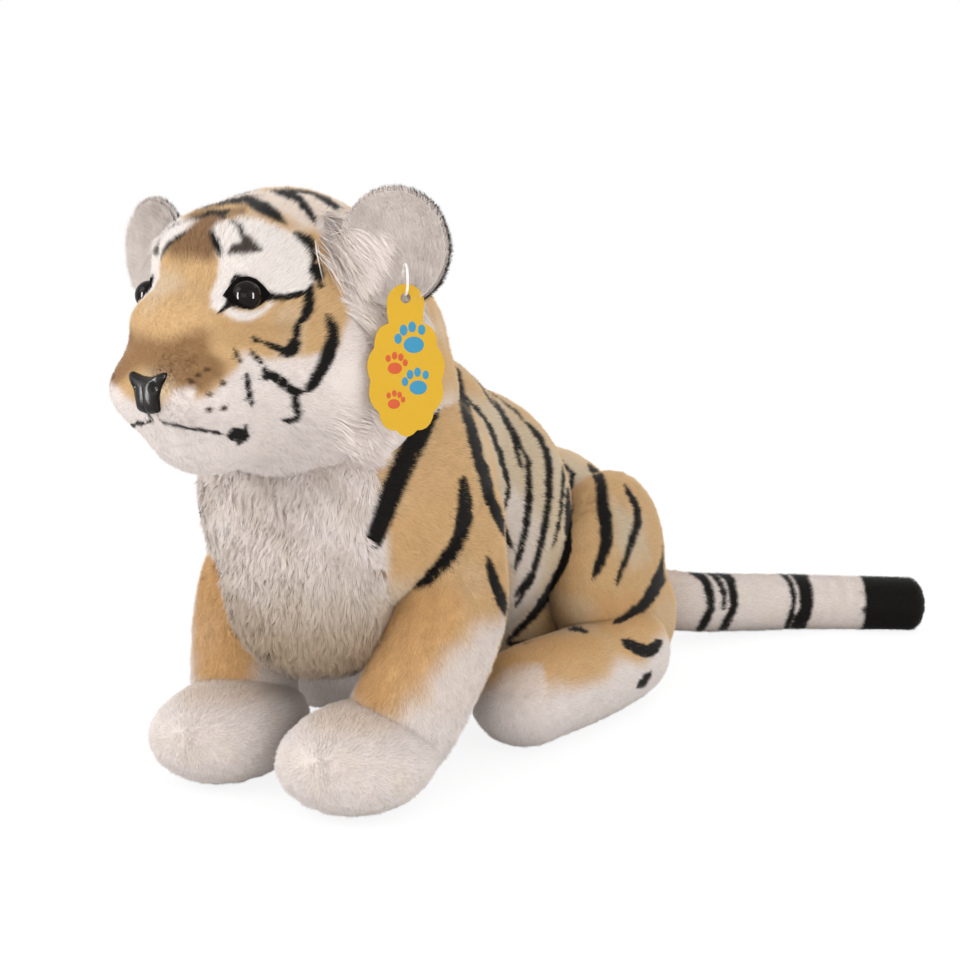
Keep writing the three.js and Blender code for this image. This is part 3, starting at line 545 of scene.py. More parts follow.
# Each row is an area: its colour, strength, softness in mm, and its outlines in pixels.
HEAD_AREAS = [
    (SNOW, 0.7, 4.0, [[(232, 188), (262, 181), (300, 181), (348, 205), (335, 225), (300, 232), (287, 222),
                       (250, 206)]]),
    (TOAST, 0.95, 4.0, [[(190, 214), (209, 208), (225, 218), (214, 231), (215, 243), (205, 252), (192, 259),
                         (172, 259), (166, 250), (178, 230)]]),
    (HONEY, 0.8, 5.0, [[(215, 314), (250, 325), (292, 316), (302, 332), (285, 346), (250, 346), (232, 352),
                        (214, 345)]]),
    (BROWN, 0.95, 5.0, [[(118, 349), (148, 341), (180, 336), (203, 326), (213, 332), (216, 350), (230, 364),
                         (226, 376), (207, 393), (180, 396), (168, 383), (160, 372), (126, 372),
                         (112, 372)]]),
    (SNOW, 1.0, 1.6, [[(218, 222), (236, 219), (255, 219), (275, 226), (295, 235), (307, 247), (313, 265),
                        (313, 284), (304, 293), (284, 297), (270, 294), (245, 284), (232, 295), (227, 307),
                        (219, 313), (211, 307), (213, 291), (218, 277), (221, 260), (215, 243), (213, 231)],
                       [(225, 306), (238, 312), (250, 312), (262, 306), (271, 299), (274, 305), (264, 315),
                        (250, 320), (238, 320), (226, 314)]]),
    (SOOT, 0.95, 0.7, [[(239, 233), (250, 238), (262, 251), (245, 254), (228, 254), (232, 245), (243, 243)]]),
    (BLACK, 1.0, 0.5, [[(229, 290), (230, 281), (235, 274), (243, 275), (255, 279), (263, 287), (270, 293),
                        (286, 295), (286, 298), (272, 300), (262, 303), (243, 309), (231, 307), (218, 314),
                        (226, 303)]]),
    (BLACK, 1.0, 0.6, [[(238, 196), (252, 199), (268, 206), (280, 215), (288, 227), (275, 223), (258, 215),
                        (245, 206)]]),
    (WHITE, 1.0, 2.6, [[(316, 224), (328, 256), (343, 289), (349, 316), (340, 347), (318, 352), (301, 359),
                        (275, 361), (256, 357), (242, 351), (237, 362), (230, 374), (216, 388), (205, 396),
                        (190, 399), (168, 399), (160, 408), (150, 417), (128, 420), (140, 462), (330, 468),
                        (400, 440), (400, 250), (345, 215)],
                       [(108, 382), (120, 388), (128, 402), (134, 420), (118, 424), (106, 400)]]),
]
BODY_AREAS = [
    (ASH, 0.75, 7.0, [[(462, 395), (500, 400), (560, 450), (600, 470), (592, 520), (567, 560), (542, 600),
                         (510, 622), (505, 560), (498, 500), (480, 440)],
                        [(610, 500), (640, 520), (640, 560), (618, 540)]]),
    (GOLD, 0.5, 6.0, [[(382, 585), (440, 600), (425, 640), (404, 690), (385, 722), (346, 712), (345, 690),
                       (366, 640)],
                       [(192, 545), (248, 575), (256, 620), (246, 690), (205, 690), (190, 640)],
                       [(478, 655), (500, 640), (560, 638), (600, 628), (600, 650), (540, 672), (490, 672)],
                       [(590, 590), (640, 600), (650, 625), (600, 640)]]),
    (WHITE, 0.9, 8.0, [[(470, 632), (500, 618), (518, 612), (510, 650), (492, 700), (470, 750), (440, 765),
                        (400, 738), (410, 706), (432, 672), (450, 650)]]),
    (WHITE, 0.7, 5.0, [[(493, 512), (510, 550), (512, 575), (505, 617), (500, 642), (520, 620), (540, 580),
                        (546, 540), (530, 500), (512, 488)],
                       [(262, 600), (290, 606), (305, 640), (310, 700), (252, 712), (256, 650)]]),
]


def lay_areas(groups, names):
    """Each airbrushed area: colour, strength, softness in mm, and its outlines."""
    return [(colour, strength, soft, [lay_patch(outline, names) for outline in outlines])
            for colour, strength, soft, outlines in groups]


head_areas = lay_areas(HEAD_AREAS, ["head"])
body_areas = lay_areas(BODY_AREAS, BODY_NAMES)
whisker_places = land_on(WHISKER_DOTS, ["head"])[0]
whisker_dots = [place * sign for place in whisker_places for sign in ([1, 1, 1], [-1, 1, 1])]
DOT_RADIUS = 1.0
print("areas:", len(head_areas), "on the head,", len(body_areas), "on the body")


# %% How much of a mark lies at a place
def over(colours, colour, amount):
    """One colour laid over the others by an amount from 0 to 1."""
    return colours + (colour - colours) * amount[:, None]


def gap_to(pixels, line, half):
    """Pixels from a mark's edge, below zero inside: the nearest stretch of the line less its half width.

    An outline has no half width. There a pixel is inside if a level ray crosses the outline an odd
    number of times."""
    start = line if half is None else line[:-1]
    along = (np.roll(line, -1, axis=0) if half is None else line[1:]) - start
    away = pixels[:, None] - start
    share = np.clip((away * along).sum(axis=2) / (along**2).sum(axis=1), 0, 1)
    gap = np.linalg.norm(away - share[..., None] * along, axis=2)
    if half is not None:
        return (gap - half[:-1] - share * np.diff(half)).min(axis=1)
    rises = (away[..., 1] < 0) != (away[..., 1] < along[:, 1])
    left = away[..., 0] < away[..., 1] * along[:, 0] / np.where(along[:, 1] == 0, 1, along[:, 1])
    inside = (rises & left).sum(axis=1) % 2 == 1
    return np.where(inside, -1, 1) * gap.min(axis=1)


OTHER_SIDE = {"left": "right", "right": "left"}
TWINS = {name: "_".join(OTHER_SIDE.get(word, word) for word in name.split("_")) for name in forms}
SEEN_FROM, SEEN_WHOLE = 0.07, 0.18


def mark_amount(points, normals, form, marks, soft, ragged=0.0):
    """1 within a mark and 0 outside, faded over soft mm, for the points of a form and their mirror images.

    A mark fades out where the skin turns edge on to the camera's first position."""
    amount, ragged = np.zeros(len(points)), np.broadcast_to(ragged, len(points))
    for sign, name in ((1, form), (-1, TWINS[form])):
        there = points * [sign, 1, 1]
        facing = (unit(eye_point - there) * normals * [sign, 1, 1]).sum(axis=1)
        pixels = pixels_of(there)
        for line, half, under in marks:
            if name not in under:
                continue
            margin = (0 if half is None else half.max()) + (2 * soft + 2) / MM_PER_PIXEL
            near = (pixels > line.min(axis=0) - margin) & (pixels < line.max(axis=0) + margin)
            index = np.flatnonzero(near.all(axis=1) & (facing > SEEN_FROM))
            for first in range(0, len(index), 30000):
                part = index[first : first + 30000]
                gap = gap_to(pixels[part], line, half) * MM_PER_PIXEL + ragged[part]
                shown = (1 - fade(gap, -soft, soft)) * fade(facing[part], SEEN_FROM, SEEN_WHOLE)
                amount[part] = np.maximum(amount[part], shown)
    return amount


def stripe_amount(points, normals, form, stripes):
    """A stripe's edge is crisp, and only slightly ragged."""
    ragged = 0.3 * drift(points, 8, 11) + 0.15 * drift(points, 3, 12)
    return mark_amount(points, normals, form, stripes, 0.3, ragged)


def paint_areas(colours, points, normals, form, areas):
    """Airbrushed areas with soft, slightly wandering edges, laid over each other in order."""
    wander = drift(points, 20, 5)
    for colour, strength, soft, marks in areas:
        amount = mark_amount(points, normals, form, marks, soft, 0.35 * soft * wander)
        colours = over(colours, colour, strength * amount)
    return colours


print("twin of leg_left:", TWINS["leg_left"])


# %% Bands behind
def bridge_amount(points, form):
    """Black from each stripe's upper end over the spine to its mirror image: a bow square to the middle."""
    amount = np.zeros(len(points))
    for x, y, half in bridges if form == "torso" else []:
        share = points[:, 0] / x
        bow = y - 4 * (1 - share**2) + 1.5 * drift(points, 14, 15)
        gap = np.abs(points[:, 1] - bow) - half * (0.6 + 0.4 * np.abs(share))
        amount = np.maximum(amount, (1 - fade(gap, -0.5, 0.5)) * (np.abs(share) < 1.05) * (points[:, 2] > 70))
    return amount


def band_amount(points, normals, middle, bands):
    """Bands behind, seen from the back: at a height, rising to the sides, thinner away from the middle."""
    amount = np.zeros(len(points))
    across = np.abs(points[:, 0] - middle)
    for height, half, reach, rise in bands:
        gap = np.abs(points[:, 2] - height - rise * across - 1.5 * drift(points, 20, 16))
        gap = gap - half * np.sqrt(np.clip(1 - across / reach, 0, 1))
        behind = (across < reach) * fade(normals[:, 1], 0.45, 0.6)
        amount = np.maximum(amount, (1 - fade(gap, -0.4, 0.4)) * behind)
    return amount


# Each row is a band: its height, half width, reach and rise.
RUMP_BANDS = [(118, 4.0, 34, 0.25), (98, 4.5, 42, 0.2), (76, 4.0, 38, 0.15)]
HAUNCH_BANDS = [(104, 3.5, 20, -0.1), (80, 4.0, 24, 0.0), (56, 3.5, 22, 0.1)]
POLL_BANDS = [(262, 4.0, 42, -0.15), (244, 4.5, 50, -0.1), (224, 4.0, 46, -0.1), (203, 4.0, 40, 0.0)]
HAUNCH_MIDDLE = 62
print("bands:", len(RUMP_BANDS), "on the rump,", len(POLL_BANDS), "on the back of the head")


# %% Paint of the body and limbs
def paint_body(points, normals, form):
    """Tan with slow changes, cream below, the areas, white on the breast, then bands and stripes."""
    colours = np.tile(TAN, (len(points), 1))
    colours = over(colours, GOLD, 0.2 * fade(drift(points, 60, 1), -0.2, 1))
    colours = over(colours, CREAM, 0.2 * fade(drift(points, 45, 2), 0.1, 1.2))
    colours = over(colours, CREAM, fade(-normals[:, 2], 0.35, 0.8))
    colours = paint_areas(colours, points, normals, form, body_areas)
    colours = over(colours, WHITE, 1 - fade(ball_field(panel_balls, 8, points), -3, 2))
    colours = over(colours, BROWN, 0.8 * stripe_amount(points, normals, form, brown_marks))
    if form == "torso":
        colours = over(colours, BLACK, bridge_amount(points, form))
        colours = over(colours, BLACK, band_amount(points, normals, 0, RUMP_BANDS))
    if form.startswith("haunch"):
        middle = HAUNCH_MIDDLE if form == "haunch_left" else -HAUNCH_MIDDLE
        colours = over(colours, BLACK, band_amount(points, normals, middle, HAUNCH_BANDS))
    return over(colours, BLACK, stripe_amount(points, normals, form, body_stripes))


def paint_limb(points, normals, form):
    """As the body, and white low down: higher up on the fore legs than on the hind feet."""
    colours = paint_body(points, normals, form)
    low = points[:, 2] + 3 * drift(points, 40, 3)
    white = 1 - np.where(points[:, 1] < -150, fade(low, 38, 50), fade(low, 27, 40))
    colours = over(colours, WHITE, white)
    return over(colours, BLACK, stripe_amount(points, normals, form, body_stripes))


def paint_paw(points, normals):
    """White, with a breath of tan where the leg meets it."""
    return over(paint_white(points, normals), TAN, 0.3 * fade(points[:, 2], 36, 44))


place = np.array([[0, 0, 130.0]])
print("colour on the back:", paint_body(place, unit(place), "torso").round(3))


# %% Paint of the head and the trimmings
def paint_head(points, normals):
    """Tan with cream in it, white under the chin, the areas, the whisker dots, then bands and stripes."""
    colours = np.tile(TAN, (len(points), 1))
    colours = over(colours, CREAM, 0.4 * fade(drift(points, 30, 4), 0, 1.2))
    colours = over(colours, WHITE, fade(HEAD_PLACE[2] - 36 - points[:, 2], 0, 14))
    colours = paint_areas(colours, points, normals, "head", head_areas)
    for place in whisker_dots:
        away = np.linalg.norm(points - place, axis=1)
        colours = over(colours, BROWN * 0.25, 1 - fade(away, DOT_RADIUS, DOT_RADIUS + 0.7))
    colours = over(colours, BLACK, band_amount(points, normals, 0, POLL_BANDS))
    return over(colours, BLACK, stripe_amount(points, normals, "head", head_stripes))


def paint_white(points, normals):
    """Off-white with slow changes to cream."""
    return over(np.tile(WHITE, (len(points), 1)), CREAM, 0.3 * fade(drift(points, 24, 6), 0, 1.4))


def paint_bib(points, normals):
    """Off-white at the throat with a light mottle of sand, and darkened to sandy grey lower down between the
    legs as painted shade.
    """
    colours = over(paint_white(points, normals), SAND, 0.15 + 0.15 * drift(points, 18, 13).clip(-1, 1))
    # Painted shade: the bib turns sandy grey from 120 mm down to 70 mm, for the shade between the legs.
    return over(colours, SAND, 1.0 * (1 - fade(points[:, 2], 70, 120)))


print("white fur there:", paint_white(place, unit(place)).round(3))

# %% Paint of the tail and the ears
tail_line = smooth_path(tail[:, :3] + [0, 0, forms["tail"]["drop"]], np.linspace(0, 1, 400))
tail_way = unit(np.gradient(tail_line, axis=0))
TIP_LENGTH = 44.0
tail_left = np.cumsum(np.linalg.norm(np.diff(tail_line[::-1], axis=0), axis=1))[::-1]


def on_tail(points):
    """The number of the nearest point of the tail's line."""
    nearest = np.empty(len(points), int)
    for start in range(0, len(points), 20000):
        part = points[start : start + 20000, None] - tail_line[None, ::2]
        nearest[start : start + 20000] = 2 * np.argmin(np.linalg.norm(part, axis=2), axis=1)
    return nearest


def far_of_tail(points, normals):
    """The points and normals mirrored through the upright sheet that the tail's line runs in."""
    nearest = on_tail(points)
    side = unit(np.cross(tail_way[nearest], [0, 0, 1.0]))
    flip = lambda vectors: vectors - 2 * (vectors * side).sum(axis=1)[:, None] * side
    return tail_line[nearest] + flip(points - tail_line[nearest]), flip(normals)


def paint_tail(points, normals):
    """Off-white, tan towards the rump, with rings that close behind, and a black tip."""
    colours = over(paint_white(points, normals), SAND, np.full(len(points), 0.05))
    colours = over(colours, TAN, 0.8 * (1 - fade(points[:, 0], 0, 90)))
    left = np.r_[tail_left, 0][on_tail(points)] + 0.5 * drift(points, 8, 7)
    for near in ((points, normals), far_of_tail(points, normals)):
        colours = over(colours, BLACK, stripe_amount(*near, "tail", tail_stripes))
    return over(colours, BLACK * 0.6, 1 - fade(left, TIP_LENGTH - 0.5, TIP_LENGTH + 0.5))


def paint_ear_back(points, normals):
    """Black mottled pile behind and round the outer rim, white where the inner rim turns to the front."""
    mottle = fade(drift(points, 5, 8) + 0.5 * drift(points, 17, 17), 0.1, 1.0)
    colours = over(np.tile(BLACK, (len(points), 1)), BROWN * 0.7, 0.3 * mottle)
    side = np.sign(points[:, 0])
    outward = (points[:, 0] - side * EAR_PLACE[0] * HEAD[0]) * side
    pale = np.where(outward > 9, fade(-normals[:, 1], 0.93, 0.99), fade(-normals[:, 1], 0.1, 0.4))
    return over(colours, WHITE, pale)


def paint_ear_lining(points, normals):
    """White with a changing veil of grey."""
    return over(np.tile(WHITE, (len(points), 1)), GREY, 0.6 + 0.15 * drift(points, 22, 9).clip(-1, 1))


print("tail line", round(float(tail_left[0])), "mm, black tip", TIP_LENGTH, "mm")

# %% [markdown]
# ## Cloth and pile
# Each form becomes a closed cloth skin, and then a field of blades. Short pile is one narrow
# triangle a blade; long pile bends, so it gets three. The blades lean along the nap, wander a
# little together so that they clump, and carry the skin's own normals so that the light falls
# softly, as it does on a dense pile. Blender's own hair would look alike, but a mesh travels with
# the model.


# %% Meshes
def grid_faces(rows, around):
    """Quads of a grid closed round its turn, with a fan of triangles over each end."""
    row, column = np.meshgrid(np.arange(1, rows - 2), np.arange(around), indexing="ij")
    at = lambda r, c: 1 + (r - 1) * around + c % around
    quads = np.stack([at(row, column), at(row + 1, column), at(row + 1, column + 1), at(row, column + 1)], -1)
    column = np.arange(around)
    last = (rows - 2) * around + 1
    first_fan = np.stack([0 * column, at(1, column), at(1, column + 1)], -1)
    last_fan = np.stack([0 * column + last, at(rows - 2, column + 1), at(rows - 2, column)], -1)
    return quads.reshape(-1, 4), np.vstack([first_fan, last_fan])


def grid_points(grid):
    """The grid's points, with one point for each end."""
    return np.vstack([grid[:1, 0], grid[1:-1].reshape(-1, 3), grid[-1:, 0]])


def triangles_of(grid):
    """The grid's faces with every quad cut in two."""
    quads, fans = grid_faces(*grid.shape[:2])
    return np.vstack([quads[:, [0, 1, 2]], quads[:, [0, 2, 3]], fans])


def normals_of(points, faces):
    """Vertex normals: the sum of the area vectors of the faces at each vertex, made unit length."""
    area = np.cross(points[faces[:, 1]] - points[faces[:, 0]], points[faces[:, 2]] - points[faces[:, 0]])
    corners = faces.ravel()
    total = np.stack([np.bincount(corners, np.repeat(area[:, k], 3), len(points)) for k in range(3)], -1)
    return total / np.maximum(np.linalg.norm(total, axis=1), 1e-9)[:, None]


def mesh_object(name, points, faces, colours=None, normals=None):
    """A mesh in metres at the origin, with its colours on the vertices as the attribute 'pile'."""
    mesh = bpy.data.meshes.new(name)
    mixed = isinstance(faces, list)
    sizes = np.array([len(row) for row in faces]) if mixed else np.full(len(faces), faces.shape[1])
    flat = np.concatenate(faces) if mixed else faces.ravel()
    mesh.vertices.add(len(points))
    mesh.vertices.foreach_set("co", (np.asarray(points) * MM).astype(np.float32).ravel())
    mesh.loops.add(len(flat))
    mesh.loops.foreach_set("vertex_index", flat.astype(np.int32))
    mesh.polygons.add(len(sizes))
    mesh.polygons.foreach_set("loop_start", np.r_[0, np.cumsum(sizes)[:-1]].astype(np.int32))
    mesh.polygons.foreach_set("use_smooth", np.ones(len(sizes), bool))
    mesh.update(calc_edges=True)
    if colours is not None:
        layer = mesh.attributes.new("pile", "FLOAT_COLOR", "POINT")
        layer.data.foreach_set("color", np.c_[colours, np.ones(len(colours))].astype(np.float32).ravel())
    if normals is not None:
        mesh.attributes.new("custom_normal", "FLOAT_VECTOR", "POINT")
        mesh.attributes["custom_normal"].data.foreach_set("vector", normals.astype(np.float32).ravel())
    thing = bpy.data.objects.new(name, mesh)
    bpy.context.scene.collection.objects.link(thing)
    return thing


print("triangles of the torso's skin:", len(triangles_of(forms["torso"]["grid"])))

# %% Materials of the cloth
def pile_finish(name, roughness, sheen):
    """Dyed pile: the colour kept with each blade, dull, with the soft sheen of fibre."""
    finish = bpy.data.materials.new(name)
    finish.use_nodes = True
    nodes, links = finish.node_tree.nodes, finish.node_tree.links
    shader = nodes["Principled BSDF"]
    colour = nodes.new("ShaderNodeAttribute")
    colour.attribute_name = "pile"
    links.new(colour.outputs["Color"], shader.inputs["Base Color"])
    shader.inputs["Roughness"].default_value = roughness
    shader.inputs["Specular IOR Level"].default_value = 0.2
    shader.inputs["Sheen Weight"].default_value = sheen
    shader.inputs["Sheen Roughness"].default_value = 0.4
    return finish


short_pile = pile_finish("short_pile", 0.75, 0.15)
long_pile = pile_finish("long_pile", 0.65, 0.2)
cloth_backing = pile_finish("cloth_backing", 0.9, 0.1)
print("finishes:", short_pile.name, long_pile.name, cloth_backing.name)

# %% Blades
DENSITY = 1.0
MOST_TRIANGLES = 190000
BENT_FACES, SHORT_FACES = np.array([[0, 1, 2], [0, 2, 3], [3, 2, 4]]), np.array([[0, 1, 2]])
# Painted shade down each blade: the points near the root are darker and the tip a little lighter, for the
# shade deep in the pile.
BENT_PAINTED_ROOT_SHADE, SHORT_PAINTED_ROOT_SHADE = np.array([0.88, 0.88, 0.98, 0.98, 1.05]), np.array([0.87, 0.87, 1.05])


def scatter(points, faces, per_mm2, seed):
    """Roots spread evenly over the skin: triangles are drawn by area, and a place in each at random."""
    rng = np.random.default_rng(seed)
    a, b, c = points[faces[:, 0]], points[faces[:, 1]], points[faces[:, 2]]
    area = np.linalg.norm(np.cross(b - a, c - a), axis=1) / 2
    count = int(area.sum() * per_mm2 * DENSITY)
    pick = rng.choice(len(faces), count, p=area / area.sum())
    u, v = rng.random((2, count))
    u, v = np.where(u + v > 1, 1 - u, u), np.where(u + v > 1, 1 - v, v)
    normals = normals_of(points, faces)
    weights = np.stack([1 - u - v, u, v], -1)[:, :, None]
    roots = (points[faces[pick]] * weights).sum(axis=1)
    sides = (normals[faces[pick]] * weights).sum(axis=1)
    return roots, sides / np.linalg.norm(sides, axis=1)[:, None]


def lay_blades(roots, normals, nap, length, width, stand, clump, bent, seed):
    """Points of the blades. A short blade is root, root and tip; a long one has two more half way up.

    Its way is the normal times stand, plus the nap, plus a wandering push shared by neighbours."""
    rng = np.random.default_rng(seed)
    count = len(roots)
    push = np.stack([drift(roots, clump[0], seed + k) for k in range(3)], -1) * clump[1]
    loose = rng.normal(size=(count, 3)) * 0.16
    nap = unit(nap - normals * (nap * normals).sum(axis=1)[:, None])
    way = unit(normals * stand + nap + push + loose)
    way = unit(way + normals * np.maximum(0, 0.15 - (way * normals).sum(axis=1))[:, None])
    across = unit(np.cross(normals, way) + rng.normal(size=(count, 3)) * 0.12)
    reach = (length * rng.uniform(0.7, 1.15, count))[:, None]
    half = (width * rng.uniform(0.7, 1.2, count) / 2)[:, None]
    roots = roots - normals * 0.3
    if not bent:
        return np.stack([roots + across * half, roots - across * half, roots + way * reach], 1)
    middle = roots + way * reach * 0.5
    tip = middle + unit(way * 0.6 + nap * 0.5 + push * 0.6 + [0, 0, -0.25]) * reach * 0.5
    return np.stack([roots + across * half, roots - across * half, middle - across * half * 0.8,
                     middle + across * half * 0.8, tip], 1)


def plant(name, roots, normals, nap, paint, length, width=0.44, stand=0.85, clump=(8, 0.18), bent=False,
          seed=1):
    """Pieces of pile, split along the form so that each stays small enough to export.

    A short blade is coloured at its root and near its tip, and a long one half way. Each blade is then
    painted darker towards its root as painted shade, and a little lighter at its tip as painted light."""
    order = np.argsort(roots[:, 1], kind="stable")
    roots, normals, nap = roots[order], normals[order], nap[order]
    length = np.broadcast_to(length, len(order))[order] if np.ndim(length) else np.full(len(order), length)
    shade = np.random.default_rng(seed + 50).uniform(0.9, 1.06, len(roots))
    blades = lay_blades(roots, normals, nap, length, width, stand, clump, bent, seed)
    blades[..., 2] = np.maximum(blades[..., 2], 0.15)
    steps = BENT_PAINTED_ROOT_SHADE if bent else SHORT_PAINTED_ROOT_SHADE
    colours = []
    for share in (0.5,) if bent else (0.15, 0.85):
        shown = roots + share * (blades[:, -1] - roots)
        shown -= normals * ((shown - roots) * normals).sum(axis=1)[:, None]
        colours.append(np.clip(paint(shown, normals), 0, 1))
    colours = np.stack([colours[0]] * (len(steps) - 1) + [colours[-1]], 1)
    # Painted shade: the root darkening down each blade, times a random tone for each blade.
    shaded_colours = colours * (shade[:, None] * steps[None])[..., None]
    soft = unit((normals[:, None] + 0 * blades).reshape(-1, 3))
    each = blades.shape[1]
    pattern = BENT_FACES if bent else SHORT_FACES
    most = MOST_TRIANGLES // len(pattern)
    pieces = []
    parts = max(1, int(np.ceil(len(roots) / most)))
    for i, index in enumerate(np.array_split(np.arange(len(roots)), parts)):
        start = index[0]
        faces = (np.arange(len(index))[:, None, None] * each + pattern).reshape(-1, 3)
        block = slice(start * each, (index[-1] + 1) * each)
        piece = mesh_object(f"{name}_{i + 1}", blades[index].reshape(-1, 3), faces,
                            np.clip(shaded_colours[index].reshape(-1, 3), 0, 1), soft[block])
        lay_map(piece, roots[index], normals[index], each)
        piece.data.materials.append(long_pile if bent else short_pile)
        pieces.append(piece)
    print(f"{name}: {len(roots)} blades in {parts} pieces")
    return pieces


def lay_map(piece, roots, normals, each):
    """A flat map for the baked colours: six tiles, one for each way a root can face."""
    way = np.argmax(np.abs(normals), axis=1)
    tile = way + 3 * (normals[np.arange(len(way)), way] < 0)
    low, high = roots.min(axis=0), roots.max(axis=0)
    share = (roots - low) / np.maximum((high - low).max(), 1e-6)
    pair = np.array([[1, 2], [0, 2], [0, 1]])[way]
    rows = np.arange(len(way))
    u = (share[rows, pair[:, 0]] * 0.94 + 0.02 + tile % 3) / 3
    v = (share[rows, pair[:, 1]] * 0.94 + 0.02 + tile // 3) / 2
    corner = np.array([[0, 0], [1, 0], [0.5, 1], [0, 1], [1, 1]])[:each]
    places = np.stack([u, v], -1)[:, None] + corner[None] * 0.003
    layer = piece.data.uv_layers.new(name="OFBake")
    index = np.empty(len(piece.data.loops), np.int32)
    piece.data.loops.foreach_get("vertex_index", index)
    layer.data.foreach_set("uv", places.reshape(-1, 2)[index].astype(np.float32).ravel())


def carry(pieces, body):
    """Each piece follows its body; what crosses the neck or the tail's root follows no body, and its place is
    baked into its points.
    """
    for piece in pieces:
        if body == "neck":
            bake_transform(piece)
        elif body == "tail root":
            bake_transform(piece)
        else:
            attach(piece, body)


def outside(points, names, gap=2.0):
    """True where a point isn't buried in any of the named forms."""
    free = np.ones(len(points), bool)
    for name in names:
        low = forms[name]["grid"].reshape(-1, 3).min(axis=0)
        high = forms[name]["grid"].reshape(-1, 3).max(axis=0)
        near = ((points > low) & (points < high)).all(axis=1)
        free[near] &= forms[name]["field"](points[near]) > -gap
    return free


def on(paint, form):
    """A paint for one form, which then needs only points and normals."""
    return lambda points, normals: paint(points, normals, form)


def cloth(name, nodes, grid_names, paint, body):
    """The cloth skin of one or two forms as one piece that stands for its CAD nodes, coloured at 0.8 of its
    paint as painted shade under the pile.
    """
    points, quads, count = [], [], 0
    for form in grid_names:
        grid = forms[form]["grid"]
        q, fans = grid_faces(*grid.shape[:2])
        quads += [row for row in q + count] + [row for row in fans + count]
        points.append(grid_points(grid))
        count += len(points[-1])
    points = np.vstack(points)
    triangles = np.vstack([[row[0], row[1], row[2]] for row in quads])
    normals = normals_of(points, triangles)
    # Painted shade under the pile: the skin is coloured at 0.8 of its paint.
    piece = mesh_object(name, points, quads, paint(points, normals) * 0.8)
    piece.data.materials.append(cloth_backing)
    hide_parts(*nodes)
    carry([piece], body)
    return piece


def roots_on(form, per_mm2, hidden_by, seed, low=1.2):
    """Roots scattered over a form, less those under the floor's edge or inside other forms."""
    grid = forms[form]["grid"]
    roots, normals = scatter(grid_points(grid), triangles_of(grid), per_mm2, seed)
    keep = (roots[:, 2] > low) & outside(roots, hidden_by)
    return roots[keep], normals[keep]


def grow(name, form, body, paint, nap, length, seed, per_mm2=3.6, hidden_by=(), keep=None, **style):
    """Pile over a form: roots by area, less the hidden ones and those not kept, and a blade on each.

    The nap and the length are the same for all, or are worked out from the roots."""
    roots, normals = roots_on(form, per_mm2, hidden_by, seed)
    if keep is not None:
        found = keep(roots)
        roots, normals = roots[found], normals[found]
    nap = nap(roots) if callable(nap) else np.tile(nap, (len(roots), 1))
    length = length(roots) if callable(length) else length
    carry(plant(name, roots, normals, nap, paint, length, seed=seed + 1, **style), body)


# %% [markdown]
# ## The coat of the body and the tail
# The cloth is cut so that its nap runs backward and down, as an animal's coat does, and this is
# what makes a stripe's edge look combed. Each limb is one cloth piece. Where two limbs press on
# each other no pile is planted, because it would be hidden and would only make the model heavy.

# %% Body and limbs
LIMBS = [f"{form}_{side}" for form in ("leg", "haunch", "foot") for side in ("left", "right")]
BACK_NAP, SHIN_NAP, PAW_NAP = np.array([0.0, 1.0, -0.55]), np.array([0.0, 0.3, -1.0]), [0.0, 0.8, -0.6]
HAUNCH_NAP, FOOT_NAP, TAIL_NAP = [0.0, 0.7, -1.0], [0.0, 1.0, -0.6], [1.0, 0.55, -0.1]


def leg_nap(roots):
    """Backward over the shoulder, and turning downward along the leg."""
    high = fade(roots[:, 2], 90, 150)[:, None]
    return high * BACK_NAP + (1 - high) * SHIN_NAP


torso_paint = on(paint_body, "torso")
cloth("torso_cloth", ["torso_pelt"], ["torso"], torso_paint, "neck")
grow("torso_pile", "torso", "neck", torso_paint, BACK_NAP, 3.4, 21, hidden_by=LIMBS + ["head"])
for name in ("left", "right"):
    leg, paw, haunch, foot = f"leg_{name}", f"paw_{name}", f"haunch_{name}", f"foot_{name}"
    leg_paint, haunch_paint, foot_paint = on(paint_limb, leg), on(paint_body, haunch), on(paint_limb, foot)
    cloth(f"front_leg_cloth_{name}", [f"front_leg_{name}"], [leg, paw], leg_paint, "torso")
    grow(f"leg_pile_{name}", leg, "torso", leg_paint, leg_nap, 3.2, 31, 3.8, ["torso", paw])
    grow(f"paw_pile_{name}", paw, "torso", paint_paw, PAW_NAP, 3.2, 31, 3.8, ["torso", leg])
    cloth(f"haunch_cloth_{name}", [haunch], [haunch], haunch_paint, "torso")
    grow(f"haunch_pile_{name}", haunch, "torso", haunch_paint, HAUNCH_NAP, 3.4, 41, 3.6, ["torso", foot])
    cloth(f"hind_foot_cloth_{name}", [f"hind_foot_{name}"], [foot], foot_paint, "torso")
    grow(f"hind_foot_pile_{name}", foot, "torso", foot_paint, FOOT_NAP, 3.2, 51, 3.6, ["torso", haunch])

# %% Tail
cloth("tail_cloth", ["tail_pelt", "tail_tip"], ["tail"], paint_tail, "tail root")
grow("tail_pile", "tail", "tail root", paint_tail, TAIL_NAP, 3.0, 61, 3.2, ["torso"])

# %% [markdown]
# ## The head
# The nap starts at the nose and runs back over the face, and it gets longer on the way. The pile
# stops at the black felt round each eye. White hair grows in front of the ears and behind the
# cheeks; it is kept off the shoulder stripe and out of the space that the card tag swings in.

# %% Head
EYE_PLACES = {side: HEAD_PLACE + np.array([side * 0.218, -0.1, 0.07]) * HEAD for side in (1, -1)}
LINING_HALF, LINING_UPPER, LINING_LOWER = 9.6, 7.2, 5.8
NOSE_PLACE = HEAD_PLACE + np.array([0, -0.3, -0.25]) * HEAD


